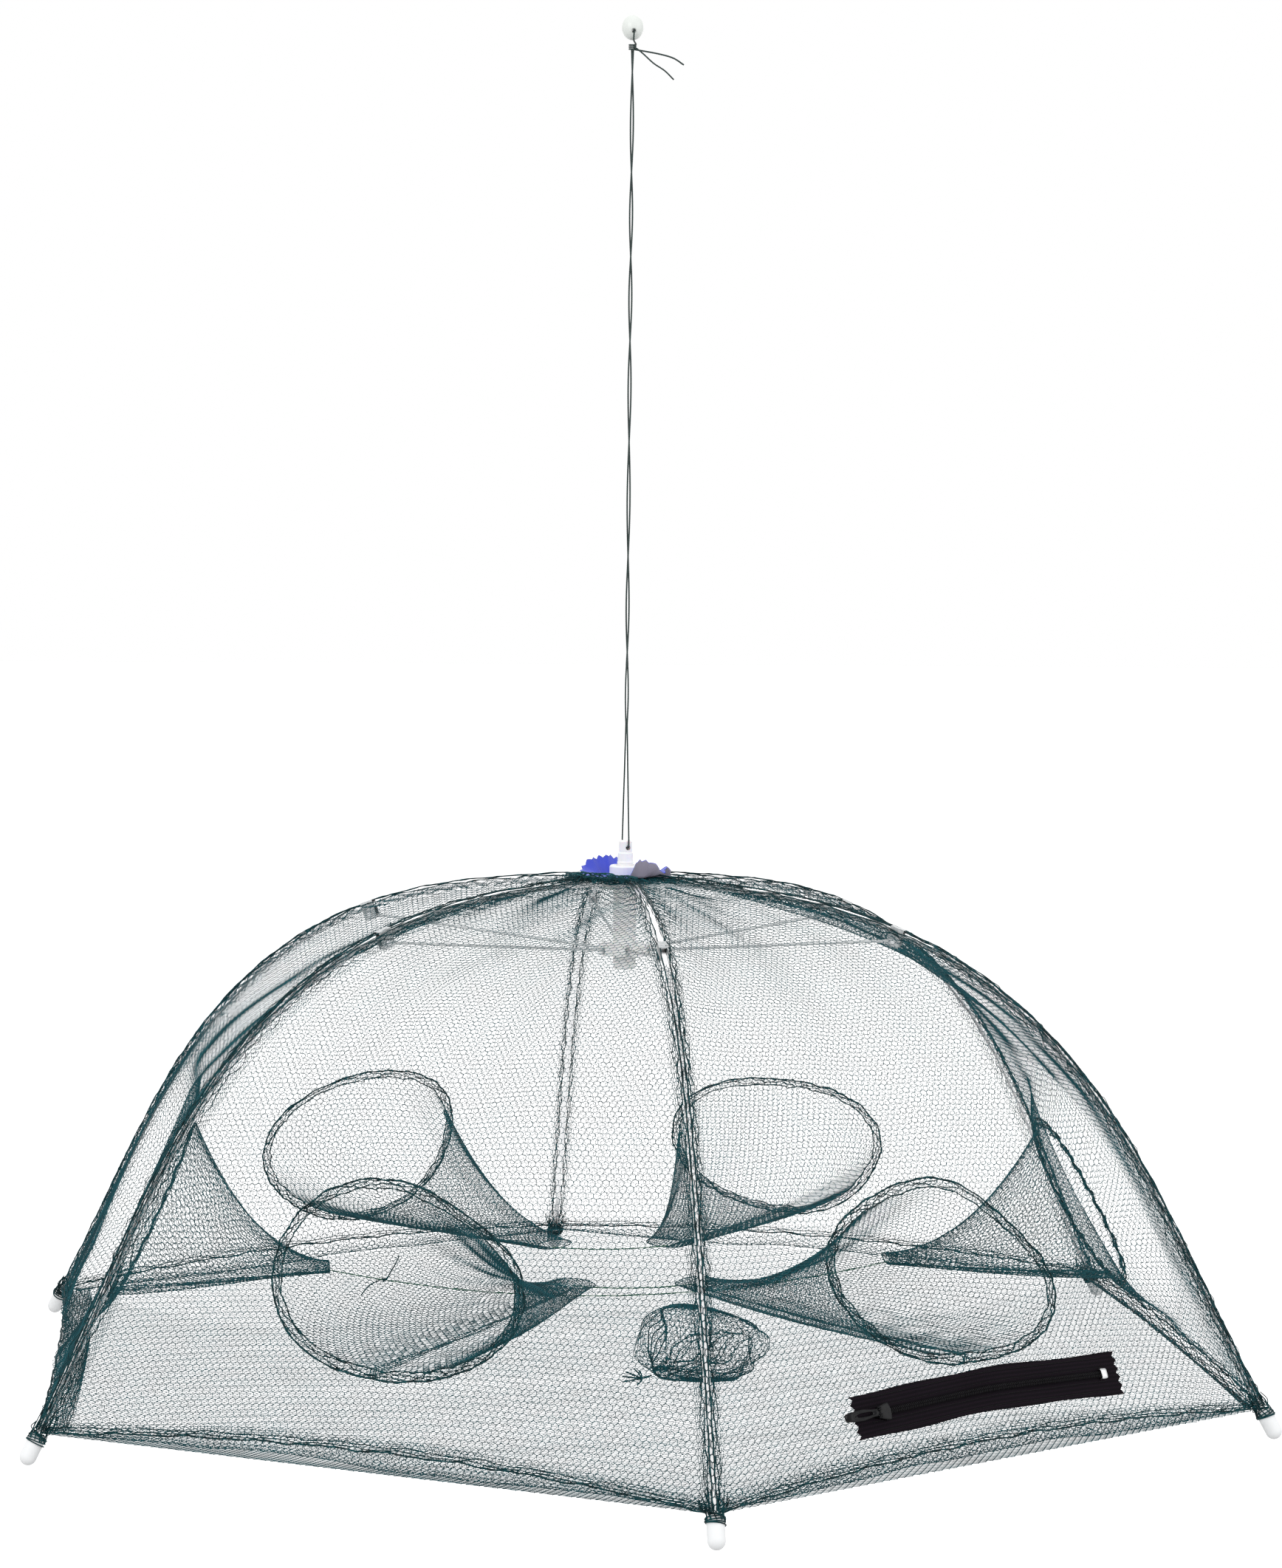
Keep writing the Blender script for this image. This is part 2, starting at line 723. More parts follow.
@dataclass
class SidePanels:
    """Six side panels of netting with their entrances, gathered along the ribs and the hem."""

    dome: Dome
    weave: Weave
    extra: float = 0.016
    band: float = 0.0065
    rib_fullness: tuple[float, ...] = (0.8, 1.5, 1.1, 0.8, 0.9, 1.7)
    hem_extra: float = 0.010
    hem_band: float = 0.0065
    hem_arch: float = 0.024
    slack: float = 0.0022
    pleat: float = 0.0016
    mouth_width: float = 0.078
    mouth_height: float = 0.061
    mouth_blend: float = 0.75
    mouth_shifts: tuple[tuple[float, float], ...] = (
        (-0.011, 0.007), (0.014, 0.002), (0.018, -0.013), (-0.010, -0.009), (0.0, 0.012), (-0.004, 0.005))
    mouth_sinks: tuple[float, ...] = (0.0, 0.019, 0.0, 0.0, 0.019, 0.0)
    mouth_shapes: tuple[tuple[float, ...], ...] = (
        (0.885, 0.075, -0.066, -0.015, -0.032, 0.003, -0.032),
        (0.880, 0.000, 0.040, 0.020, -0.020, 0.000, 0.010),
        (0.935, 0.051, -0.044, 0.008, 0.028, -0.007, -0.016),
        (0.965, 0.000, 0.057, 0.030, 0.018, -0.006, 0.000),
        (0.990, 0.020, -0.040, -0.015, 0.020, 0.010, 0.000),
        (0.900, 0.054, -0.075, 0.032, -0.015, 0.000, 0.003))
    gather_lines: tuple[int, ...] = (3, 5, 3, 3, 2, 5)
    gather_places: tuple[tuple[float, float], ...] = (
        (-0.0015, 0.0024), (0.0001, 0.0010), (0.0016, 0.0), (0.0034, -0.0004), (0.0058, -0.0007))
    skirt_sizes: tuple[float, ...] = (1.0, 0.5, 0.8, 0.8, 0.85, 1.0)
    hem_start: float = 0.006
    hem_run: float = 0.41
    hem_lines: tuple[Triple, ...] = (
        (0.0002, 0.0, 0.00052), (-0.0014, 0.0006, 0.00030), (-0.0034, 0.0008, 0.00028))
    hem_bundles: tuple[int, ...] = (0, 9, 0, 0, 9, 0)
    bundle_radius: float = 0.00034
    skirt_depth: float = 0.0125
    skirt_reach: float = 0.022
    skirt_flat: float = 0.034
    shortest: float = 0.0002
    overlay_half: float = 0.0072
    overlay_from: float = 0.36
    keep: float = 0.22

    def mouth_frame(self, side: int) -> tuple[Array, Array]:
        """Middle and axes of an entrance, a little off the panel's middle and drawn inwards."""
        centre, axes = self.dome.panel_axes(side, self.dome.mouth_share)
        along, up = self.mouth_shifts[side]
        sunk = axes[:, 2] * self.mouth_sinks[side]
        return centre + axes[:, 0] * along + axes[:, 1] * up - sunk, axes

    def wobble(self, side: int, angle: Array) -> Array:
        """How far the entrance's rim lies from its oval, as a factor.

        It is the shape's first number plus a cosine and a sine of 2, 3 and 4 times the angle,
        each times its own number.
        """
        mean, *shares = self.mouth_shapes[side]
        total = np.full_like(angle, mean)
        for order, (even, odd) in enumerate(zip(shares[::2], shares[1::2]), start=2):
            total = total + even * np.cos(order * angle) + odd * np.sin(order * angle)
        return total

    def fold(self, rib: int) -> Fold:
        """The netting beside a rib flattens towards that rib's plane."""
        return self.dome.fold(self.dome.tangent(rib), self.keep)

    def width(self, side: int, share: Array) -> Array:
        """Distance between the two edges of a panel."""
        apart = self.dome.side_line(side + 1, share, -1.0) - self.dome.side_line(side, share, 1.0)
        return np.linalg.norm(apart, axis=1)

    @property
    def hem_width(self) -> float:
        """Distance between two feet along the hem."""
        return float(self.width(0, np.array([self.dome.net_end]))[0])

    def arched(self, across: Array, share: Array) -> Array:
        """Shares of the rib drawn up between two feet: a parabola that fades up the panel."""
        return share - self.hem_arch * 4 * across * (1 - across) * smooth_step((share - 0.72) / 0.25)

    def fullness(self, share: Array, rib: Array) -> Array:
        """The extra netting gathered at each rib, less near the hub and at the front rib."""
        return (self.extra * np.array(self.rib_fullness)[rib]
                * (0.25 + 0.75 * smooth_step(share / 0.25)))

    def surface(self, side: int, flat: Array) -> tuple[Array, Array, Array]:
        """Maps the flat netting onto the panel.

        The height is measured down the rib and the width across the panel. Between two feet the
        hem is drawn up in an arch. Extra width is gathered into a band at each rib and extra
        height into one at the hem, where small pleats stand proud; wide shallow waves give the
        rest its slack. Round the entrance the netting is drawn flat onto the plane of its oval.

        Args:
            side: the panel's number.
            flat: flat places, across and down.

        Returns:
            Places, outward normals, and whether each lies on the panel.
        """
        dome = self.dome
        length = dome.net_end * dome.rib_length
        rise = length + self.hem_extra - flat[:, 1]
        down = length - tucked(np.maximum(rise, 0.0), self.hem_extra, self.hem_band)
        share = np.clip(down / dome.rib_length, 0.0, dome.net_end)
        width = self.width(side, share)
        rib = np.where(flat[:, 0] < 0.0, side, (side + 1) % SIDES)
        extra = self.fullness(share, rib)
        reach = width / 2 + extra
        band = self.band * np.array(self.rib_fullness)[rib]
        distance = tucked(np.maximum(reach - np.abs(flat[:, 0]), 0.0), extra,
                          np.minimum(band, width / 3))
        across = 0.5 + np.sign(flat[:, 0]) * (width / 2 - distance) / width
        across = np.clip(across, 0.0, 1.0)
        share = self.arched(across, share)
        place = dome.panel(side, across, share)
        outward = dome.outward(side + 0.5, share)
        edge = np.exp(-distance / self.band) + 0.8 * np.exp(-(length - down) / self.hem_band)
        pleats = np.sin(flat[:, 1] * TAU / 0.012 + 5.0 * ripple(flat[:, 0] * 90.0, side + 0.3))
        hub = np.exp(-share / 0.05)
        rise = self.pleat * pleats * np.minimum(edge, 1.0) * (1.0 - 0.7 * hub)
        middle = np.sin(math.pi * across) * smooth_step(share / 0.2)
        waves = (0.6 * np.sin(TAU * (3.1 * across + 0.6 * share) + side)
                 + 0.7 * ripple(11.0 * share + 5.0 * across, side * 0.77))
        rise = rise + self.slack * waves * middle
        place = place + outward * rise[:, None]
        on_panel = ((np.abs(flat[:, 0]) <= reach) & (flat[:, 1] >= 0.0)
                    & (flat[:, 1] <= length + self.hem_extra))
        return self.drawn_to_mouth(side, place), outward, on_panel

    def mouth_position(self, side: int, place: Array) -> tuple[Array, Array, Array, Array]:
        """Distance and angle of places round an entrance, and the entrance's own frame."""
        centre, axes = self.mouth_frame(side)
        own = (place - centre) @ axes
        across = own[:, 0] / self.mouth_width
        up = own[:, 1] / self.mouth_height
        angle = np.arctan2(up, across)
        return np.hypot(across, up) / self.wobble(side, angle), angle, centre, axes

    def drawn_to_mouth(self, side: int, place: Array) -> Array:
        """Draws the netting round an entrance onto the plane of the entrance's oval."""
        far, _, centre, axes = self.mouth_position(side, place)
        proud = (place - centre) @ axes[:, 2]
        weight = 1.0 - smooth_step((far - 1.0) / self.mouth_blend)
        return place - (proud * weight)[:, None] * axes[:, 2]

    def rim(self, side: int, angle: Array) -> Array:
        """Places on the rim of an entrance."""
        centre, axes = self.mouth_frame(side)
        size = self.wobble(side, angle)
        return (centre + (self.mouth_width * size * np.cos(angle))[:, None] * axes[:, 0]
                + (self.mouth_height * size * np.sin(angle))[:, None] * axes[:, 1])

    def build(self) -> None:
        """Makes the two halves of each panel, each on the rib that it is sewn to."""
        dome = self.dome
        length = dome.net_end * dome.rib_length + self.hem_extra
        half = self.hem_width / 2 + self.extra * max(self.rib_fullness)
        for side in range(SIDES):
            turn = math.radians(7.0 * math.sin(1.9 * side + 0.6))
            starts, ends = self.weave.honeycomb((-half, 0.0), (half, length), turn)
            middle = (starts + ends) / 2
            _, _, inside = self.surface(side, middle)
            starts, ends, middle = starts[inside], ends[inside], middle[inside]
            first, normals, _ = self.surface(side, starts)
            last, _, _ = self.surface(side, ends)
            near, turn_near, _, _ = self.mouth_position(side, first)
            far, turn_far, _, _ = self.mouth_position(side, last)
            shown = ~((near < 1.0) & (far < 1.0))
            first = np.where((near < 1.0)[:, None], self.rim(side, turn_near), first)
            last = np.where((far < 1.0)[:, None], self.rim(side, turn_far), last)
            shown &= np.linalg.norm(last - first, axis=1) > self.shortest
            self.halves("side_net", side, first[shown], last[shown], normals[shown],
                        middle[shown, 0] < 0.0, 1.0, f"side_net_{side + 1}")
        self.build_gathers()
        self.build_hem()
        self.build_overlays()
        self.build_skirt()

    def halves(self, name: str, side: int, starts: Array, ends: Array, normals: Array,
               left: Array, size: float, *replaces: str) -> None:
        """Makes the left and the right half of some netting, each riding on its own rib.

        Args:
            name: what the netting is called.
            side: the panel's number.
            starts: places of the strands' starts.
            ends: places of their ends.
            normals: the netting's normals there.
            left: which strands belong to the left half.
            size: thickness against the weave's twine.
            replaces: the solids that the netting stands for.
        """
        for label, chosen, rib in (("left", left, side), ("right", ~left, (side + 1) % SIDES)):
            surface = self.weave.strands(starts[chosen], ends[chosen], normals[chosen], size)
            netting(f"{name}_{side + 1}_{label}", f"rib_{rib + 1}", MESH_TWINE, self.fold(rib),
                    surface, *replaces)

    def build_gathers(self) -> None:
        """Long bunched strands of gathered netting that run down both sides of each rib."""
        share = np.linspace(0.012, self.dome.net_end - 0.002, 150)
        down = share * self.dome.rib_length
        for rib in range(SIDES):
            parts = []
            for sign in (1.0, -1.0):
                base = self.dome.side_line(rib, share, sign)
                outward = self.dome.outward(rib, share)
                lines = self.gather_places[:self.gather_lines[rib]]
                for order, (apart, over) in enumerate(lines):
                    seed = 3.1 * rib + 0.7 * order + sign
                    sway = 0.0005 * (0.6 + order) * ripple(down * 230.0, seed)
                    lift = over + 0.0004 * (1 + order) * ripple(down * 190.0, seed + 5.0)
                    offset = np.maximum(apart + sway, -0.0017) * sign
                    path = (base + offset[:, None] * self.dome.tangent(rib)
                            + lift[:, None] * outward)
                    thick = max(0.00042 - 0.00009 * order, 0.00024)
                    thick = thick * (1 + 0.35 * ripple(down * 320.0, seed + 2.0))
                    parts.append(ring_tube(path, thick, 5, self.dome.tangent(rib)))
            netting(f"rib_gather_{rib + 1}", f"rib_{rib + 1}", DARK_TWINE, self.fold(rib),
                    join(parts))

    def build_overlays(self) -> None:
        """Netting that is carried over the outer side of each rib, below its clip."""
        dome = self.dome
        low = self.overlay_from * dome.rib_length
        high = dome.net_end * dome.rib_length
        half = self.overlay_half
        for rib in range(SIDES):
            starts, ends = self.weave.honeycomb((-half, low), (half, high),
                                                math.radians(12.0 + 9.0 * rib))
            edges = []
            for flat in (starts, ends):
                share = np.clip(flat[:, 1] / dome.rib_length, 0.0, dome.net_end)
                lift = 0.0025 + 0.0005 * ripple(flat[:, 1] * 240.0 + flat[:, 0] * 300.0, rib + 0.2)
                lift = lift - 0.0018 * (flat[:, 0] / half) ** 2
                edges.append(dome.rib_line(rib, share, lift)
                             + (0.62 * flat[:, 0])[:, None] * dome.tangent(rib))
            outward = dome.outward(rib, np.clip(starts[:, 1] / dome.rib_length, 0.0, 1.0))
            netting(f"rib_overlay_{rib + 1}", f"rib_{rib + 1}", MESH_TWINE, self.fold(rib),
                    self.weave.strands(*edges, outward, 1.15))

    def build_skirt(self) -> None:
        """The slack of the floor netting that hangs just below the hem between the feet.

        Across the strip the netting goes down and back up like half a sine; its depth is a
        parabola between two feet, drawn a little flatter.
        """
        dome = self.dome
        wide = self.hem_width
        for side in range(SIDES):
            starts, ends = self.weave.honeycomb((0.0, 0.0), (wide, self.skirt_flat),
                                                math.radians(21.0 + 8.0 * side))
            middle = (starts + ends) / 2
            places = []
            for flat in (starts, ends):
                across = np.clip(flat[:, 0] / wide, 0.0, 1.0)
                run = np.clip(flat[:, 1] / self.skirt_flat, 0.0, 1.0)
                share = self.arched(across, np.full_like(across, dome.net_end))
                sag = 4 * across * (1 - across)
                hang = self.skirt_depth * np.sin(math.pi * run) ** 0.8 * sag ** 0.7
                hang = hang * (1.0 + 0.18 * ripple(across * 9.0, side + 0.9)) * self.skirt_sizes[side]
                reach = self.skirt_reach * self.skirt_sizes[side] * run + 0.0005
                place = dome.panel(side, across, share) - dome.radial(side + 0.5) * reach[:, None]
                places.append(place - UP * hang[:, None])
            normals = np.tile(dome.radial(side + 0.5) - 0.4 * UP, (len(middle), 1))
            self.halves("hem_slack", side, *places, normals, middle[:, 0] < wide / 2, 1.2)

    def build_hem(self) -> None:
        """The hem from foot to foot, in halves that each ride on their own rib."""
        for side in range(SIDES):
            for label, low, high, rib in (("left", self.hem_start, 0.5, side),
                                          ("right", 0.5, 1.0 - self.hem_start, (side + 1) % SIDES)):
                netting(f"hem_{side + 1}_{label}", f"rib_{rib + 1}", DARK_TWINE, self.fold(rib),
                        join(self.hem_half(side, np.linspace(low, high, 90))))

    def hem_half(self, side: int, across: Array) -> Iterator[Surface]:
        """Half of a hem: a twisted cord and bunched strands, slack in the middle."""
        dome = self.dome
        share = self.arched(across, np.full_like(across, dome.net_end))
        base = dome.panel(side, across, share)
        inward = dome.inward(side, share)
        sag = 4 * across * (1 - across)
        run = across * self.hem_run
        for order, (lower, inner, thick) in enumerate(self.hem_lines):
            seed = side + 0.41 * order
            sway = lower + 0.0007 * ripple(run * 150.0, seed) + 0.0012 * sag
            deep = inner + 0.0004 * ripple(run * 170.0, seed + 3.0)
            path = base - sway[:, None] * UP + deep[:, None] * inward
            yield ring_tube(path, thick * (1 + 0.2 * ripple(run * 400.0, seed)), 6)
        reach = self.skirt_reach * self.skirt_sizes[side]
        fall = self.skirt_depth * self.skirt_sizes[side] * sag ** 0.7
        for order in range(self.hem_bundles[side]):
            part = (order + 1) / (self.hem_bundles[side] + 1)
            away = reach * part + 0.0008 * ripple(run * 140.0, side + 1.3 * order)
            hang = (fall * math.sin(math.pi * part) ** 0.8
                    + 0.0007 * ripple(run * 160.0, side + 2.1 * order))
            path = base - away[:, None] * dome.radial(side + 0.5) - hang[:, None] * UP
            yield ring_tube(path, self.bundle_radius)


@dataclass
class Funnels:
    """Six netting funnels that narrow from the entrances to flattened inner ends."""

    dome: Dome
    weave: Weave
    panels: SidePanels
    inset: float = 0.0010
    tip_radii: tuple[float, ...] = (0.075, 0.175, 0.075, 0.075, 0.190, 0.075)
    tip_rise: float = 0.060
    tip_width: float = 0.014
    tip_height: float = 0.0030
    sag: float = 0.010
    fullness: float = 1.04
    mouth_round: float = 0.438
    tip_round: float = 0.150
    collar: float = 0.014
    collar_squeeze: float = 0.45
    pleats: int = 9
    rim_lines: tuple[Triple, ...] = (
        (0.0062, 0.0005, 0.00060), (0.0046, 0.0016, 0.00030), (0.0028, 0.0018, 0.00030),
        (0.0006, 0.0006, 0.00042))
    seam_lines: int = 5
    keep: float = 0.20

    def tip(self, side: int) -> Array:
        """The middle of a funnel's inner end."""
        place = self.tip_radii[side] * self.dome.radial(side + 0.5)
        place[2] = self.dome.foot_level + self.tip_rise - self.dome.drop
        return place

    def length(self, side: int) -> float:
        """How long a funnel's netting is, from its mouth to its tip."""
        centre, _ = self.panels.mouth_frame(side)
        return self.fullness * float(np.linalg.norm(centre - self.tip(side)))

    def place(self, side: int, angle: Array, depth: Array) -> tuple[Array, Array]:
        """Places and normals of a funnel.

        The middle line runs from the mouth to the tip and sags by a parabola. The cross-section
        fades from the mouth's oval to the flat oval of the tip by (1 - depth) to the power 1.25
        across and 1.7 in height, with pleats that deepen inwards. Before the mouth a collar lies
        folded out on the panel.

        Args:
            side: the funnel's number.
            angle: round the funnel.
            depth: 0 at the mouth, 1 at the tip, less than 0 on the collar.

        Returns:
            Places and outward normals.
        """
        centre, axes = self.panels.mouth_frame(side)
        inner = np.clip(depth, 0.0, 1.0)
        folded = np.maximum(-depth, 0.0) * self.length(side)
        size = self.panels.wobble(side, angle)
        wide = (self.panels.mouth_width * size - self.inset) * np.cos(angle)
        tall = (self.panels.mouth_height * size - self.inset) * np.sin(angle)
        mouth = wide[:, None] * axes[:, 0] + tall[:, None] * axes[:, 1]
        fade = ((1.0 - inner) ** 1.25)[:, None]
        flatter = tall[:, None] * axes[:, 1] * (((1.0 - inner) ** 1.7)[:, None] - fade)
        end = (self.tip_width * np.cos(angle)[:, None] * axes[:, 0]
               + self.tip_height * np.sin(angle)[:, None] * UP)
        wave = (np.sin(self.pleats * angle + 1.5 * np.sin(angle + side) + 2.0 * inner)
                + 0.6 * np.sin(7 * angle + 1.1 * side))
        swell = 1.0 + (0.030 * np.sqrt(inner) * wave)[:, None]
        middle = centre + (self.tip(side) - centre) * inner[:, None]
        middle = middle - UP * (self.sag * 4 * inner * (1 - inner))[:, None]
        section = mouth * fade * swell + flatter + end * (1.0 - fade)
        place = middle + section + unit(mouth) * folded[:, None]
        lift = np.where(depth < 0.0, 0.0012 + 0.0005 * np.sin(23 * angle), -self.inset)
        return place + lift[:, None] * axes[:, 2], unit(section + 0.2 * axes[:, 2])

    def build(self) -> None:
        """Makes each funnel with its collar, its rim cords and its seam."""
        for side in range(SIDES):
            starts, ends = self.weave.honeycomb((-self.mouth_round / 2, -self.collar),
                                                (self.mouth_round / 2, self.length(side)),
                                                math.radians(4.0 + 5.0 * side))
            middle = (starts + ends) / 2
            keep = np.abs(middle[:, 0]) <= self.round_at(side, middle[:, 1]) / 2
            first, normals = self.mapped(side, starts[keep])
            last, _ = self.mapped(side, ends[keep])
            net = self.weave.strands(first, last, normals, 1.05)
            fold = self.dome.fold(self.dome.radial(side + 0.5), self.keep)
            netting(f"funnel_net_{side + 1}", "hub", MESH_TWINE, fold, net, f"funnel_{side + 1}")
            netting(f"funnel_rim_{side + 1}", "hub", DARK_TWINE, fold, join(self.rim_cords(side)))
            netting(f"funnel_seam_{side + 1}", "hub", GATHERED_TWINE, fold, join(self.seams(side)))

    def round_at(self, side: int, deep: Array) -> Array:
        """The flat width of the funnel's netting at a depth."""
        inner = np.clip(deep / self.length(side), 0.0, 1.0)
        return self.mouth_round + (self.tip_round - self.mouth_round) * inner

    def mapped(self, side: int, flat: Array) -> tuple[Array, Array]:
        """Maps the flat netting round the funnel, its seam at the bottom."""
        angle = math.pi / 2 + TAU * np.clip(flat[:, 0] / self.round_at(side, flat[:, 1]), -0.5, 0.5)
        deep = np.where(flat[:, 1] < 0.0, self.collar_squeeze * flat[:, 1], flat[:, 1])
        return self.place(side, angle, np.clip(deep / self.length(side), -0.08, 1.0))

    def rim_cords(self, side: int) -> Iterator[Surface]:
        """The mouth's rim: a sewn cord outside, a band of bunched netting and an inner fold.

        Each cord lies its own distance out on the panel, wavering by a ripple of the angle, and
        its thickness ripples too.
        """
        around = np.linspace(0.0, TAU, 361)
        _, axes = self.panels.mouth_frame(side)
        away = np.sin(around) * 17.0 + np.cos(around) * 13.0
        for order, (out, stray, thick) in enumerate(self.rim_lines):
            wobble = stray * ripple(away, side + 2.3 * order)
            path, _ = self.place(side, around, -np.maximum(out + wobble, 0.0) / self.length(side))
            proud = 0.0004 + 0.0005 * ripple(away * 1.9, side + 1.1 * order)
            path = path + proud[:, None] * axes[:, 2]
            yield ring_tube(path, thick * (1 + 0.3 * ripple(away * 4.0, order)), 6, axes[:, 2])

    def seams(self, side: int) -> Iterator[Surface]:
        """The bunched seam along the funnel's bottom and the edge of its inner end."""
        around = np.linspace(0.0, TAU, 121)
        tip, _ = self.place(side, around, np.full_like(around, 0.995))
        yield ring_tube(tip, 0.00030)
        deep = np.linspace(-0.02, 0.99, 140)
        for order in range(self.seam_lines):
            sway = 0.022 * (order - 2) + 0.030 * ripple(deep * 17.0, side + 0.9 * order)
            line, _ = self.place(side, 1.5 * math.pi + sway, deep)
            yield ring_tube(line, 0.00028 * (1 + 0.3 * ripple(deep * 60.0, order)))


@dataclass
class Floor:
    """The floor netting: a hexagon that hangs a little below the hem."""

    dome: Dome
    weave: Weave
    corner_inset: float = 0.0031
    drop: float = 0.0015
    sag: float = 0.016
    wedges: int = 24
    keep: float = 0.22

    def surface(self, flat: Array) -> tuple[Array, Array]:
        """Places on the floor and how far out they lie: 1 on the hem.

        The level falls from the hem by sag times one minus the fourth power of the distance
        out, with shallow waves that fade towards the hem.
        """
        out, up, _ = self.dome.rib(np.array([self.dome.net_end]))
        corner = float(self.dome.ring_radius + out[0]) - self.corner_inset
        apothem = corner * math.cos(math.pi / 6)
        normals = np.array([self.dome.radial(side + 0.5)[:2] for side in range(SIDES)])
        far = (flat @ normals.T).max(axis=1) / apothem
        smooth = np.linalg.norm(flat, axis=1) / (0.5 * (corner + apothem))
        mixed = np.clip(far * far + (1 - far) * smooth, 0.0, 1.0)
        waves = 0.0005 * (ripple(flat[:, 0] * 46.0 + 7.0 * flat[:, 1], 0.4)
                          + ripple(flat[:, 1] * 52.0 - 9.0 * flat[:, 0], 1.9)) * (1 - mixed ** 2)
        level = float(up[0]) - self.drop - self.sag * (1 - mixed ** 4) + waves - self.dome.drop
        return np.column_stack([flat, level]), far

    def build(self) -> None:
        """Makes the floor in wedges, each flattening towards the stem as the trap folds."""
        reach = self.dome.ring_radius + self.dome.rib_length
        starts, ends = self.weave.honeycomb((-reach, -reach), (reach, reach), math.radians(11.0))
        first, far_first = self.surface(starts)
        last, far_last = self.surface(ends)
        inside = (far_first + far_last) / 2 <= 1.0
        middle = (starts + ends)[inside] / 2
        normals = np.tile(UP, (len(middle), 1))
        first, last = first[inside], last[inside]
        number = np.floor((np.arctan2(middle[:, 1], middle[:, 0]) % TAU) / TAU * self.wedges)
        for wedge in range(self.wedges):
            pick = number == wedge
            turn = TAU * (wedge + 0.5) / self.wedges
            fold = self.dome.fold((math.cos(turn), math.sin(turn), 0.0), self.keep)
            netting(f"floor_net_{wedge + 1}", "hub", MESH_TWINE, fold,
                    self.weave.strands(first[pick], last[pick], normals[pick]), "floor_net")


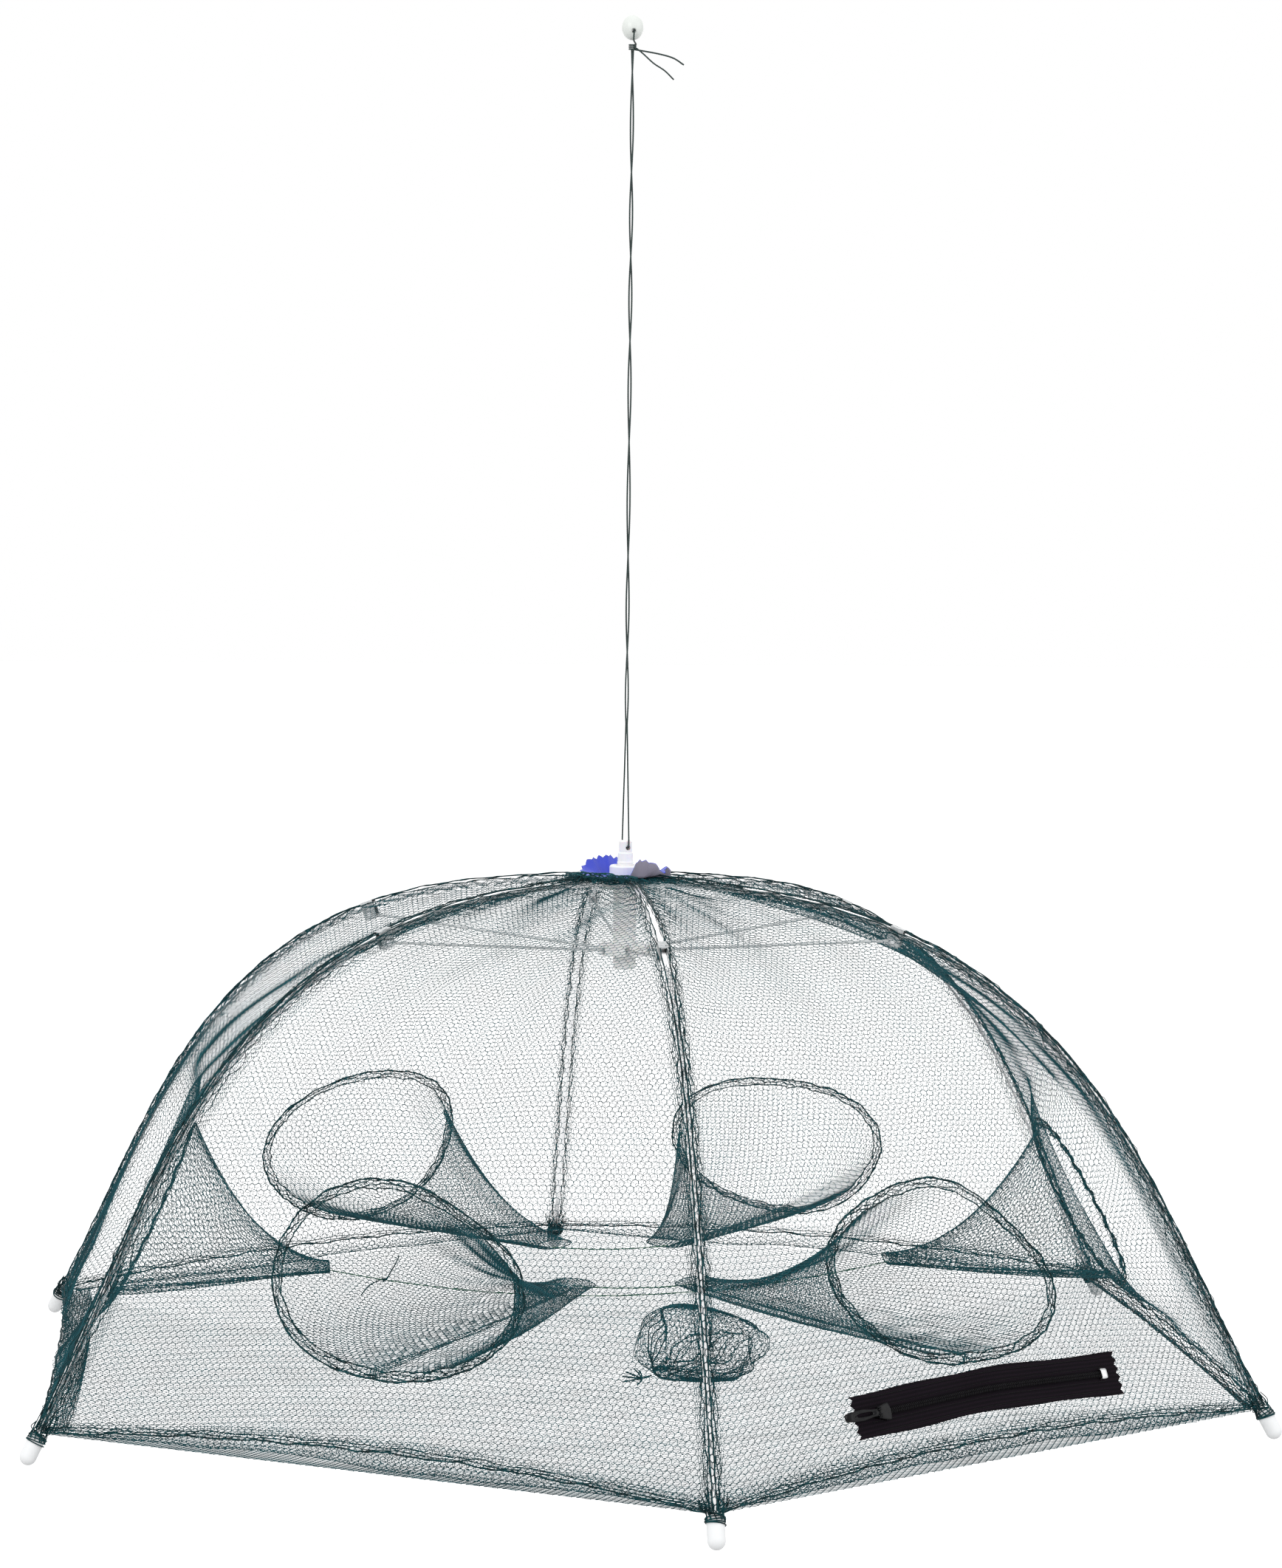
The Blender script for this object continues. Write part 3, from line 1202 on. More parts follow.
@dataclass
class BaitBag:
    """The small crumpled bag of netting that lies on the floor, tied at one end."""

    dome: Dome
    weave: Weave
    centre: tuple[float, float] = (0.048, -0.040)
    half: Triple = (0.038, 0.027, 0.022)
    floor_gap: float = 0.0018
    floor_level: float = -0.0175
    crumple: float = 0.12
    peak: float = 1.12
    slant: float = 0.38
    around: float = 0.245
    tall: float = 0.085
    shortest: float = 0.0004
    creases: int = 4
    folds: int = 16
    tufts: int = 9
    keep: float = 0.5

    def place(self, turn: Array, rise: Array, level: float) -> tuple[Array, Array]:
        """Places of the bag: a flat-bottomed pillow with deep soft dents, tall at its tied side.

        The pillow is an ellipsoid whose size wavers by sines of both angles. Its upper half is
        higher on the tied side by the cosine of the turn.
        """
        dents = 1.0 + self.crumple * (np.sin(3 * turn + 2.0 * rise) + 0.7 * np.sin(5 * turn - 3 * rise)
                                      + 0.5 * np.sin(8 * turn + 5 * rise))
        x = self.half[0] * np.cos(rise) ** 0.8 * np.cos(turn) * dents
        y = self.half[1] * np.cos(rise) ** 0.8 * np.sin(turn) * dents
        z = self.half[2] * np.sign(np.sin(rise)) * np.abs(np.sin(rise)) ** 0.7
        z = z * np.where(rise > 0.0, self.peak * (1.0 - self.slant * np.cos(turn) * np.cos(rise)), 1.0)
        middle = np.array([self.centre[0], self.centre[1], level])
        spot = np.column_stack([x, y, z])
        return spot + middle, unit(spot)

    def wrapped(self, flat: Array, level: float) -> tuple[Array, Array]:
        """Maps the flat netting round the bag: across it the turn, along it the rise."""
        turn = TAU * np.clip(flat[:, 0] / self.around, -0.5, 0.5)
        rise = math.pi * np.clip(flat[:, 1] / self.tall, -0.499, 0.499)
        return self.place(turn, rise, level)

    def build(self) -> None:
        """Makes the bag's netting, the folds over it and its tied tuft."""
        _, up, _ = self.dome.rib(np.array([self.dome.net_end]))
        level = float(up[0]) - self.dome.drop + self.floor_level + self.floor_gap + self.half[2]
        corner = np.array([self.around, self.tall]) / 2
        starts, ends = self.weave.honeycomb(tuple(-corner), tuple(corner), 0.2)
        first, normals = self.wrapped(starts, level)
        last, _ = self.wrapped(ends, level)
        fine = np.linalg.norm(last - first, axis=1) > self.shortest
        net = self.weave.strands(first[fine], last[fine], normals[fine])
        fold = self.dome.fold((0.77, -0.64, 0.0), self.keep)
        netting("bait_bag_net", "hub", MESH_TWINE, fold, net, "bait_bag")
        netting("bait_bag_tuft", "hub", GATHERED_TWINE, fold,
                join([*self.crumples(level), *self.tuft(level)]))

    def crumples(self, level: float) -> Iterator[Surface]:
        """The creases beside the tie and the folds over the bag, as bunched strands."""
        guide = (0.3, 0.8, 0.5)
        share = np.linspace(0.0, 1.0, 60)
        for order in range(self.creases):
            rise = -1.0 + 2.3 * share
            turn = 3.35 + 0.07 * order + 0.10 * ripple(share * 9.0, order)
            path, normal = self.place(turn, np.clip(rise, -1.3, 1.4), level)
            yield ring_tube(path + 0.0004 * normal, 0.00045, 5, guide)
        for order in range(self.folds):
            turn = (3.6 + (1.1 + 0.9 * math.sin(2.2 * order) ** 2) * share
                    + 0.10 * ripple(share * 11.0, order))
            rise = -1.1 + 0.06 * order + 0.9 * share + 0.14 * ripple(share * 8.0, order + 4.0)
            path, normal = self.place(turn, np.clip(rise, -1.3, 1.3), level)
            yield ring_tube(path + 0.0005 * normal, 0.00034, 5, guide)

    def tuft(self, level: float) -> Iterator[Surface]:
        """The loose strands that stand out beyond the tie."""
        corner = np.array([self.centre[0] - 0.040, self.centre[1] - 0.010, level - self.half[2] + 0.0042])
        root = corner + np.array([0.006, 0.0025, 0.001])
        for order in range(self.tufts):
            turn = TAU * order / self.tufts + 0.4
            spread = np.array([-0.5 + 0.7 * math.cos(turn), 0.8 * math.sin(turn), 0.5 * math.sin(turn * 2)])
            tip = corner + 0.0085 * spread + np.array([-0.003, 0.0, 0.001])
            path = smooth_line(np.array([root, corner, (corner + tip) / 2 + 0.001 * spread, tip]), 12)
            yield ring_tube(path, 0.0005, 5, (0.1, 0.2, 1.0))


# Cords and ties


@dataclass
class TieStrings:
    """Thin green ties that hold the funnels' inner ends towards each other."""

    dome: Dome
    funnels: Funnels
    radius: float = 0.0004
    dip: float = 0.002
    long_dip: float = 0.020
    tuck: float = 0.0015
    lower: float = 0.0022
    knot_share: float = 0.895
    knot_half: float = 0.0013
    knot_radius: float = 0.0009
    keep: float = 0.3

    def knot(self, spot: Array) -> Surface:
        """A small knot round the long tie, with two loose ends that stand off it."""
        turn = np.linspace(0.0, 2.5 * TAU, 16)
        wound = np.column_stack([self.knot_half * (2 * turn / turn[-1] - 1),
                                 self.knot_radius * np.cos(turn),
                                 self.knot_radius * np.sin(turn)])[::-1]
        upper = np.array([[0.0095, -0.0010, 0.0155], [0.0062, -0.0014, 0.0090], [0.0028, -0.0010, 0.0030]])
        lower = np.array([[-0.0040, 0.0002, -0.0006], [-0.0100, 0.0004, -0.0040],
                          [-0.0150, 0.0, -0.0100]])
        return ring_tube(spot + smooth_line(np.vstack([upper, wound, lower]), 140), self.radius, 8,
                         (0.1, 1.0, 0.2))

    def build(self) -> None:
        """Makes the three ties and declares each as a taut cord."""
        for order, (first, second, dip) in enumerate(((5, 0, self.dip), (2, 3, self.dip),
                                                      (1, 4, self.long_dip))):
            start, stop = self.funnels.tip(first), self.funnels.tip(second)
            reach = unit(stop - start) * self.tuck
            fall = self.lower * UP
            start, stop = start - reach - fall, stop + reach - fall
            share = np.linspace(0.0, 1.0, 60)
            path = start + (stop - start) * share[:, None]
            path[:, 2] -= dip * 4 * share * (1 - share)
            surface = ring_tube(path, self.radius, 8, plies=2, lay=0.004, depth=0.2)
            fold = self.dome.fold((1.0, 0.0, 0.0), self.keep)
            made = Piece(f"tie_{order + 1}", "hub", "tie_string", GREEN_STRING,
                         (f"tie_string_{order + 1}",), fold).make(surface)
            if dip == self.long_dip:
                knot = self.knot(path[int(self.knot_share * len(path))])
                Piece("tie_knot", "hub", "tie_string", DARK_TWINE, (), fold).make(knot)
            tuple(start)


@dataclass
class PullCord:
    """The looped pull cord of laid twine, its knot with two loose tails, and the bead."""

    dome: Dome
    radius: float = 0.00058
    twist_radius: float = 0.0009
    turns: float = 3.5
    hole_turn: float = math.radians(-72.0)
    hole_height: float = 0.0228
    spread_height: float = 0.080
    neck_top: float = 0.0275
    nose_radius: float = 0.0043
    knot_level: float = -0.0125
    knot_radius: float = 0.0021
    knot_half: float = 0.0019
    bead_radius: float = 0.0070
    bead_half: float = 0.0082
    bead_hole: float = 0.0014
    bead_hole_drop: float = 0.0030
    lay: float = 0.0036

    def route(self) -> Array:
        """The loop's middle line: down one strand, through the neck, and up the other.

        The two strands wind round each other on a helix of the twist radius, a little unevenly,
        and below the spread height they part to the two sides of the neck.
        """
        axis = np.array([math.cos(self.hole_turn), math.sin(self.hole_turn), 0.0])
        hole = (self.hole_height - self.dome.drop) * UP
        low = hole[2] + self.spread_height
        high = self.knot_level - 2.6 * self.radius
        share = np.linspace(0.0, 1.0, 110)
        turn = self.hole_turn + self.turns * TAU * (share + 0.02 * np.sin(9 * share))
        level = low + (high - low) * share
        reach = self.nose_radius + self.radius + 0.0001
        clear = (self.neck_top + self.radius - self.dome.drop) * UP
        strands, necks = [], []
        for sign in (1.0, -1.0):
            side = axis * sign
            strands.append(ring_line(sign * self.twist_radius, turn, level))
            necks.append(np.array([side * (self.nose_radius + 0.0003) + hole,
                                   side * reach + hole + 0.0012 * UP, side * reach + clear]))
        points = np.vstack([strands[0][::-1], necks[0][::-1], hole[None, :], necks[1], strands[1]])
        return even_line(points, 2400)

    def knot_route(self) -> Array:
        """Through the bead, down to the knot, three turns round the strands, and a loose tail."""
        turn = np.linspace(0.0, 3 * TAU, 60)
        level = self.knot_level + self.knot_half * (1 - 2 * turn / turn[-1])
        wound = ring_line(self.knot_radius, turn, level)
        reach = self.bead_radius + 0.0009
        entry = np.array([[0.0, reach, -self.bead_hole_drop], [0.0, 0.0, -self.bead_hole_drop],
                          [0.0, -reach, -self.bead_hole_drop],
                          [0.0, -reach, -self.bead_hole_drop - 0.0012],
                          [0.0, 0.0009 - self.bead_radius, -self.bead_half - self.radius]])
        drop = np.array([[0.008, -0.0035, -0.0030], [0.018, -0.0042, -0.0048],
                         [0.026, -0.0040, -0.0070], [0.0325, -0.0040, -0.0110]])
        drop[:, 2] += self.knot_level
        return smooth_line(np.vstack([entry, wound[::3], drop]), 420)

    def tail_route(self) -> Array:
        """The second, lower tail of the knot."""
        points = np.array([[0.0015, -0.0022, -0.0005], [0.006, -0.0036, -0.0042],
                           [0.013, -0.0046, -0.0105], [0.020, -0.0050, -0.0150],
                           [0.026, -0.0046, -0.0205]])
        points[:, 2] += self.knot_level
        return smooth_line(points, 120)

    def bead(self) -> Surface:
        """The bead: an ellipsoid with a round hole through it from front to back.

        A point is given by the angle round the hole's axis and by how far it lies between the
        hole's rim and the bead's outline; its depth is that of the ellipsoid there. The wall of
        the hole joins the two rims, so that the whole is one closed ring.
        """
        angle = np.linspace(0.0, TAU, 56, endpoint=False)
        rim_x = self.bead_hole * np.cos(angle)
        rim_z = self.bead_hole * np.sin(angle) - self.bead_hole_drop
        wide, tall = self.bead_radius, self.bead_half
        a = (np.cos(angle) / wide) ** 2 + (np.sin(angle) / tall) ** 2
        b = -2 * self.bead_hole_drop * np.sin(angle) / tall ** 2
        c = (self.bead_hole_drop / tall) ** 2 - 1.0
        far = (-b + np.sqrt(b * b - 4 * a * c)) / (2 * a)
        share = np.sin(np.linspace(0.0, math.pi / 2, 18))
        front = []
        for part in share:
            reach = self.bead_hole + (far - self.bead_hole) * part
            x, z = reach * np.cos(angle), reach * np.sin(angle) - self.bead_hole_drop
            depth = wide * np.sqrt(np.maximum(0.0, 1 - (x / wide) ** 2 - (z / tall) ** 2))
            front.append(np.column_stack([x, -depth, z]))
        soft = [np.column_stack([rim_x * 0.93, front[0][:, 1] + 0.0006, (rim_z + self.bead_hole_drop)
                                 * 0.93 - self.bead_hole_drop])]
        half = soft + front
        back = [ring * np.array([1.0, -1.0, 1.0]) for ring in half[::-1]][1:]
        return closed_ring(np.array(half + back))

    def twine(self, path: Array, size: float, guide: Triple) -> Surface:
        """Three-ply twine along a path, its thickness against the cord's."""
        return ring_tube(path, self.radius * size, 10, guide, plies=3, lay=self.lay)

    def build(self) -> None:
        bead = Piece("bead", "stem", "bead_plastic", BEAD_PLASTIC, ("pull_bead",)).make(self.bead())
        guide = (math.sin(self.hole_turn), -math.cos(self.hole_turn), 0.0)
        knot = Piece("knot", "stem", "cord", PULL_TWINE, ("cord_knot",)).make(
            self.twine(self.knot_route(), 1.0, (0.31, 0.17, 1.0)))
        tail = Piece("knot_tail", "stem", "cord", PULL_TWINE).make(
            self.twine(self.tail_route(), 0.95, (0.1, 1.0, 0.3)))
        path = self.route()
        cord = Piece("cord", "stem", "cord", PULL_TWINE, ("pull_cord",)).make(
            self.twine(path, 1.0, guide))


# Cloth, caps and lashings


@dataclass
class ClothDisc:
    """The pinked cloth disc under the hub's cap, blue above and grey underneath."""

    dome: Dome
    inner: float = 0.0073
    flat_radius: float = 0.0162
    radius: float = 0.0300
    teeth: int = 30
    tooth: float = 0.0018
    level: float = 0.0045
    thickness: float = 0.0004
    leans: tuple[tuple[float, float], ...] = (
        (0.0, -14.0), (40.0, -16.0), (78.0, 10.0), (98.0, 56.0), (117.0, 74.0), (134.0, 62.0),
        (149.0, 58.0), (163.0, 34.0), (180.0, 16.0), (196.0, 8.0), (214.0, 6.0), (252.0, 6.0),
        (267.0, 4.0), (280.0, 58.0), (293.0, 74.0), (307.0, 64.0), (322.0, 12.0), (334.0, 30.0),
        (343.0, 36.0), (352.0, 0.0))

    def lean(self, angle: Array) -> Array:
        """How steeply the cloth rises at each direction, straight between its creases."""
        turns, rises = np.array(self.leans).T
        return np.radians(np.interp(np.degrees(angle), turns, rises, period=360.0))

    def build(self) -> None:
        """The cloth is flat under the cap. Beyond it each radius leans up or down by the angle of
        lean(a), and its length stays: the radius grows by the sum of steps times cos and the
        level by the sum of steps times sin. The edge is cut in teeth.
        """
        columns = 8 * self.teeth
        rows = 22
        angle = np.linspace(0.0, TAU, columns, endpoint=False)
        share = np.linspace(0.0, 1.0, rows)[:, None]
        zigzag = np.abs(((angle * self.teeth / TAU) % 1.0) * 2 - 1)
        edge = self.radius - self.tooth * (1 - zigzag)
        cut = self.inner + (edge[None, :] - self.inner) * share
        beyond = np.maximum(0.0, cut - self.flat_radius)
        lean = self.lean(angle)[None, :] * smooth_step(beyond / 0.003)
        step = np.diff(beyond, axis=0, prepend=beyond[:1])
        radius = np.minimum(cut, self.flat_radius) + np.cumsum(step * np.cos(lean), axis=0)
        rise = np.cumsum(step * np.sin(lean), axis=0)
        crease = 0.0004 * np.sin(14 * angle + 2 * np.sin(3 * angle)) * share
        level = self.level + rise + crease - self.dome.drop
        top = np.stack([radius * np.cos(angle), radius * np.sin(angle), level + self.thickness / 2],
                       axis=-1)
        bottom = top - self.thickness * UP
        flat = np.stack([cut * np.cos(angle), cut * np.sin(angle)], axis=-1)
        surface = slab(top, bottom, True, flat).flipped()
        made = Piece("coated_cloth", "hub", "blue_cloth", BLUE_COATING, ("cloth_disc",)).make(surface)
        made.data.materials.append(GREY_LINING.material())
        side = np.zeros(len(made.data.polygons), dtype=np.int32)
        count = (rows - 1) * columns
        side[count:2 * count] = 1
        made.data.polygons.foreach_set("material_index", side)


@dataclass
class Feet:
    """White caps on the ribs' lower ends, with the twine that lashes the netting to each."""

    dome: Dome
    radius: float = 0.0050
    rim: float = 0.0040
    grip: float = 0.0060
    length: float = 0.0190
    bore: float = 0.0027
    lashing_radius: float = 0.00038
    gathers: int = 22
    gather_radius: float = 0.00030

    def frame(self, rib: int) -> tuple[Array, Array]:
        """Place of a cap's mouth, and its axes: across, square to the rib, and up the rib."""
        share = np.array([1 - self.grip / self.dome.rib_length])
        _, _, tilt = self.dome.rib(share)
        place = self.dome.rib_line(rib, share)[0]
        ahead = math.cos(tilt[0]) * self.dome.radial(rib) - math.sin(tilt[0]) * UP
        across = self.dome.tangent(rib)
        return place, np.column_stack([across, np.cross(-ahead, across), -ahead])

    def profile(self) -> Array:
        """The cap's outline: a bore, a rolled rim, straight sides and a round end."""
        turn = np.linspace(0.0, math.pi / 2, 12)
        round_end = np.column_stack([self.radius * np.cos(turn),
                                     -self.length + self.radius * (1 - np.sin(turn))])
        upper = np.array([[0.0, -self.grip], [self.bore, -self.grip], [self.bore, -0.0004],
                          [self.bore + 0.0004, 0.0], [self.rim - 0.0004, 0.0], [self.rim, -0.0004],
                          [self.rim + 0.0003, -0.0020], [self.radius - 0.0002, -0.0028],
                          [self.radius, -0.0040]])
        outline = np.vstack([upper, round_end])
        outline[-1, 0] = 0.0
        return outline

    def lashing(self) -> Surface:
        """Twine wound round the cap's upper end, in uneven turns that slip over each other."""
        turn = np.linspace(0.0, 7.2 * TAU, 260)
        level = 0.0016 - 0.0068 * turn / turn[-1] + 0.0007 * np.sin(0.83 * turn)
        below = smooth_step((0.0004 - level) / 0.0024)
        wide = 0.0034 + (self.radius + 0.0005 - 0.0034) * below + 0.00025 * np.sin(2.3 * turn)
        return ring_tube(ring_line(wide, turn, level), self.lashing_radius, 6)

    def gather(self, rib: int, order: int) -> Surface:
        """One bunched strand of netting that runs down to the lashing."""
        turn = TAU * order / self.gathers + 0.2 * math.sin(3.0 * order + rib)
        high = 0.0085 + 0.0050 * math.sin(2.1 * order + 0.7 * rib)
        wide = 0.0030 + 0.0035 * abs(math.cos(turn))
        bow = 0.0012 * math.sin(1.7 * order + rib)
        first = [(wide + 0.0020) * math.cos(turn), 0.6 * wide * math.sin(turn), high]
        below = ring_line(np.array([wide + bow, 0.0048, 0.0056]), turn + np.array([0.0, 0.0, 0.3]),
                          np.array([0.45 * high, 0.0006, -0.0038]))
        path = smooth_line(np.vstack([first, below]), 18)
        return ring_tube(path, self.gather_radius, 5, (0.1, 0.2, 1.0))

    def build(self) -> None:
        """Makes the six caps and their lashings."""
        for rib in range(SIDES):
            place, axes = self.frame(rib)
            body = turned_body(self.profile(), 40)
            Piece(f"foot_cap_{rib + 1}", f"rib_{rib + 1}", "cap_plastic", CAP_PLASTIC,
                  (f"tip_cap_{rib + 1}",)).make(placed(body, axes, place))
            parts = [self.lashing()] + [self.gather(rib, order) for order in range(self.gathers)]
            netting(f"foot_lashing_{rib + 1}", f"rib_{rib + 1}", DARK_TWINE, None,
                    placed(join(parts), axes, place))


@dataclass
class HubGather:
    """The netting bunched and tied round the hub's rim, under the cloth."""

    dome: Dome
    radius: float = 0.0166
    tie_turns: int = 4
    tie_radius: float = 0.00040
    strands: int = 84
    strand_radius: float = 0.00034
    cross_lines: int = 12
    cross_radius: float = 0.00030
    puff: float = 0.0052
    puff_radius: float = 0.0372
    puff_half: float = 0.0042
    puff_turn: float = math.radians(232.0)

    def puffed(self, wide: Array, front: Array | float) -> Array:
        """How far the strands rise: a bell curve of the distance from the puff's radius."""
        return self.puff * front * np.exp(-((wide - self.puff_radius) / self.puff_half) ** 2)

    def dome_share(self, wide: Array) -> Array:
        """Share of the rib that lies over a radius near the hub."""
        return (wide - self.dome.ring_radius) / self.dome.rib_length

    def tie(self) -> Iterator[Surface]:
        """The turns of twine round the hub's rim."""
        turn = np.linspace(0.0, TAU, 200)
        for order in range(self.tie_turns):
            wide = self.radius + 0.0009 * order + 0.0004 * ripple(7 * np.sin(turn) + 5 * np.cos(turn), order)
            level = 0.0030 - 0.0008 * order + 0.0004 * np.sin(9 * turn + 2 * order) - self.dome.drop
            yield ring_tube(ring_line(wide, turn, level), self.tie_radius)

    def bunches(self) -> Iterator[Surface]:
        """Bunched strands that run out from the tie.

        In front they rise past the cloth's edge, each by a power of the cosine of its turn from
        the puff's middle.
        """
        out = np.linspace(0.0, 1.0, 22)
        for order in range(self.strands):
            turn = TAU * (order + 0.35 * math.sin(5.1 * order)) / self.strands
            front = max(0.0, math.cos(turn - self.puff_turn)) ** 1.5
            reach = 0.016 + 0.010 * max(0.5 + 0.5 * math.sin(2.7 * order), front)
            sway = turn + 0.10 * out * np.sin(5 * out + order) + 0.05 * out * math.sin(1.3 * order)
            wide = self.radius + reach * out
            share = self.dome_share(wide)
            _, up, _ = self.dome.rib(share)
            fade = np.clip(1.0 - share / self.dome.top_blend, 0.0, 1.0)
            spread = np.cos(((turn + math.pi / 2) % (math.pi / 3)) - math.pi / 6)
            level = (up + self.dome.top_level * fade + 0.0006 * np.sin(11 * out + order)
                     + self.puffed(wide, front) - 0.0008 * out - self.dome.drop)
            wide = wide * (math.cos(math.pi / 6) / spread) ** (0.0 if spread > 0.98 else 0.3)
            yield ring_tube(ring_line(wide, sway, level), self.strand_radius * (1 - 0.4 * out))

    def crossing(self) -> Iterator[Surface]:
        """Strands that cross the bunches in front, over the puff."""
        turn = np.linspace(self.puff_turn - 0.95, self.puff_turn + 0.75, 70)
        for order in range(self.cross_lines):
            wide = 0.0305 + 0.0009 * order + 0.0012 * ripple(turn * 9.0, 0.8 * order)
            _, up, _ = self.dome.rib(self.dome_share(wide))
            level = (up + self.dome.top_level + 0.0006 * ripple(turn * 13.0, order + 0.4) - self.dome.drop
                     + self.puffed(wide, np.cos(turn - self.puff_turn) ** 2))
            yield ring_tube(ring_line(wide, turn, level), self.cross_radius)

    def build(self) -> None:
        """Makes the tie and the strands about it as one piece."""
        netting("hub_gather", "hub", GATHERED_TWINE, None,
                join([*self.tie(), *self.bunches(), *self.crossing()]))


# Zip


@dataclass
class Zip:
    """The zip: woven tape with pinked ends, coil, slider, puller and end stop."""

    dome: Dome
    panels: SidePanels
    side: int = 0
    share: float = 0.917
    standoff: float = 0.0016
    length: float = 0.205
    width: float = 0.025
    tape: float = 0.0008
    pinks: int = 5
    pink_depth: float = 0.0024
    coil_height: float = 0.0022
    coil_end: float = 0.012
    coil_pitch: float = 0.00135
    slider_start: float = -0.0835
    slider_half: float = 0.0046
    slider_length: float = 0.0110
    wall: float = 0.0010
    stop_place: float = 0.0880
    bow: float = 0.0034
    clearance: float = 0.0003
    pin_back: float = 0.0035
    pin_rise: float = 0.0017
    puller_length: float = 0.0236
    puller_half: float = 0.0031
    coil_radius: float = 0.00082

    @property
    def roof(self) -> float:
        """Height of the slider's ceiling over the tape's middle."""
        return self.tape / 2 + self.coil_height + self.clearance

    @cached_property
    def frame(self) -> tuple[Array, Array]:
        """Place and axes of the zip: along it, up the slope and outward."""
        centre, axes = self.dome.panel_axes(self.side, self.share)
        return centre + axes[:, 2] * self.standoff, axes

    def make(self, name: str, body: str, slot: str, finish: Finish, replaces: tuple[str, ...],
             fold: Fold, smooth: bool, surface: Surface) -> None:
        """Makes a piece from a surface about the zip's middle, set in its place on the netting."""
        place, axes = self.frame
        Piece(name, body, slot, finish, replaces, fold, smooth).make(placed(surface, axes, place))

    def bend(self, x: Array, y: Array) -> Array:
        """The tape's slack: shallow waves along it, more at its edges and ends."""
        return (0.0007 * np.sin(x * 46.0 + 1.2) * (np.abs(y) / 0.0125) ** 2
                + 0.0003 * np.sin(x * 120.0 + 90.0 * y))

    def kink(self, x: Array) -> Array:
        """The zip isn't quite straight: its middle lies a little up the slope, softly bent."""
        reach = np.sqrt(x * x + 0.012 ** 2) / 0.0885
        return self.bow * (0.72 - reach)

    def tape_half(self, sign: float) -> Surface:
        """One half of the tape, from the middle to a pinked end."""
        along = np.linspace(0.0, 1.0, 90)[:, None]
        y = np.linspace(-self.width / 2, self.width / 2, 61)[None, :]
        step = self.width / (2 * self.pinks)
        zigzag = np.abs((((y + self.width / 2) / step) % 2) - 1)
        reach = self.length / 2 - self.pink_depth * (1 - zigzag)
        x = sign * along * reach
        y = y + 0.0004 * np.sin(x * 83.0) * np.sign(y) * (np.abs(y) > 0.0115)
        y = np.broadcast_to(y, x.shape)
        lift = self.bend(x, y)
        bent = y + self.kink(x)
        top = np.stack([x, bent, lift + self.tape / 2], axis=-1)
        bottom = np.stack([x, bent, lift - self.tape / 2], axis=-1)
        surface = slab(top, bottom, False, np.stack([x, y], axis=-1))
        return surface if sign > 0 else surface.flipped()

    def coil(self, sign: float, low: float, high: float) -> Surface:
        """One row of the coil: an oval helix that runs along the tape's middle."""
        turns = (high - low) / self.coil_pitch
        angle = np.linspace(0.0, turns * TAU, int(turns * 12))
        x = np.linspace(low, high, len(angle))
        y = self.kink(x) + sign * (0.00075 + 0.00085 * np.cos(angle))
        z = self.tape / 2 + 0.00034 + self.coil_radius * (1.0 + np.sin(angle))
        return ring_tube(np.column_stack([x, y, z]), 0.00030, 5, (1.0, 0.0, 0.0))

    def stitches(self, low: float, high: float) -> Surface:
        """Rows of stitching that hold the coil down."""
        x = np.linspace(low, high, 200)
        parts = []
        for y in (-0.0041, 0.0041, -0.0098, 0.0098):
            line = np.column_stack([x, y + self.kink(x), self.tape / 2 + self.bend(x, np.full_like(x, y))
                                    + 0.00004 + 0.00008 * np.abs(np.sin(x * 1300.0))])
            parts.append(ring_tube(line, 0.00016, 4, (0.0, 1.0, 0.0)))
        return join(parts)

    def shifted(self, surface: Surface) -> Surface:
        """A surface moved to the bent coil at the slider's place."""
        return surface.moved(np.array([0.0, float(self.kink(np.array(self.slider_start))), 0.0]))

    def slider(self) -> Surface:
        """The slider: a domed shield over the coil with side walls and a bridge.

        The shield's half width is largest near its front and narrows by a cosine towards the
        back; its top is crowned across by a parabola.
        """
        share = np.linspace(0.0, 1.0, 30)[:, None]
        across = np.linspace(-1.0, 1.0, 25)[None, :]
        half = self.slider_half * (0.74 + 0.26 * np.cos(math.pi * (share - 0.12))) \
            * np.clip(6 * share + 0.62, 0, 1) * np.clip(6 * (1 - share) + 0.66, 0, 1)
        x = self.slider_start + self.slider_length * (0.5 - share) + 0.0 * across
        y = half * across
        top = self.roof + self.wall * (1.0 - 0.35 * across ** 4) + 0.0 * share
        low = np.where(np.abs(across) > 0.80, self.tape / 2 + self.clearance, self.roof) + 0.0 * share
        body = slab(np.stack([x, y, top], axis=-1), np.stack([x, y, low], axis=-1))
        arch = np.linspace(0.0, math.pi, 26)
        parts = [body.flipped()]
        back = self.slider_start - self.pin_back
        for offset in (-0.00255, 0.00255):
            ear_z = self.roof + self.wall * 0.8 + 0.0030 * np.sin(arch) ** 0.8
            line = np.column_stack([back + 0.0013 * np.cos(arch), np.full_like(arch, offset), ear_z])
            parts.append(ring_tube(line, 0.00042, 8, (0.0, 1.0, 0.0)))
        pin = np.column_stack([np.full(8, back), np.linspace(-0.0027, 0.0027, 8),
                               np.full(8, self.roof + self.wall + self.pin_rise)])
        parts.append(ring_tube(pin, 0.0006, 10))
        return join(parts)

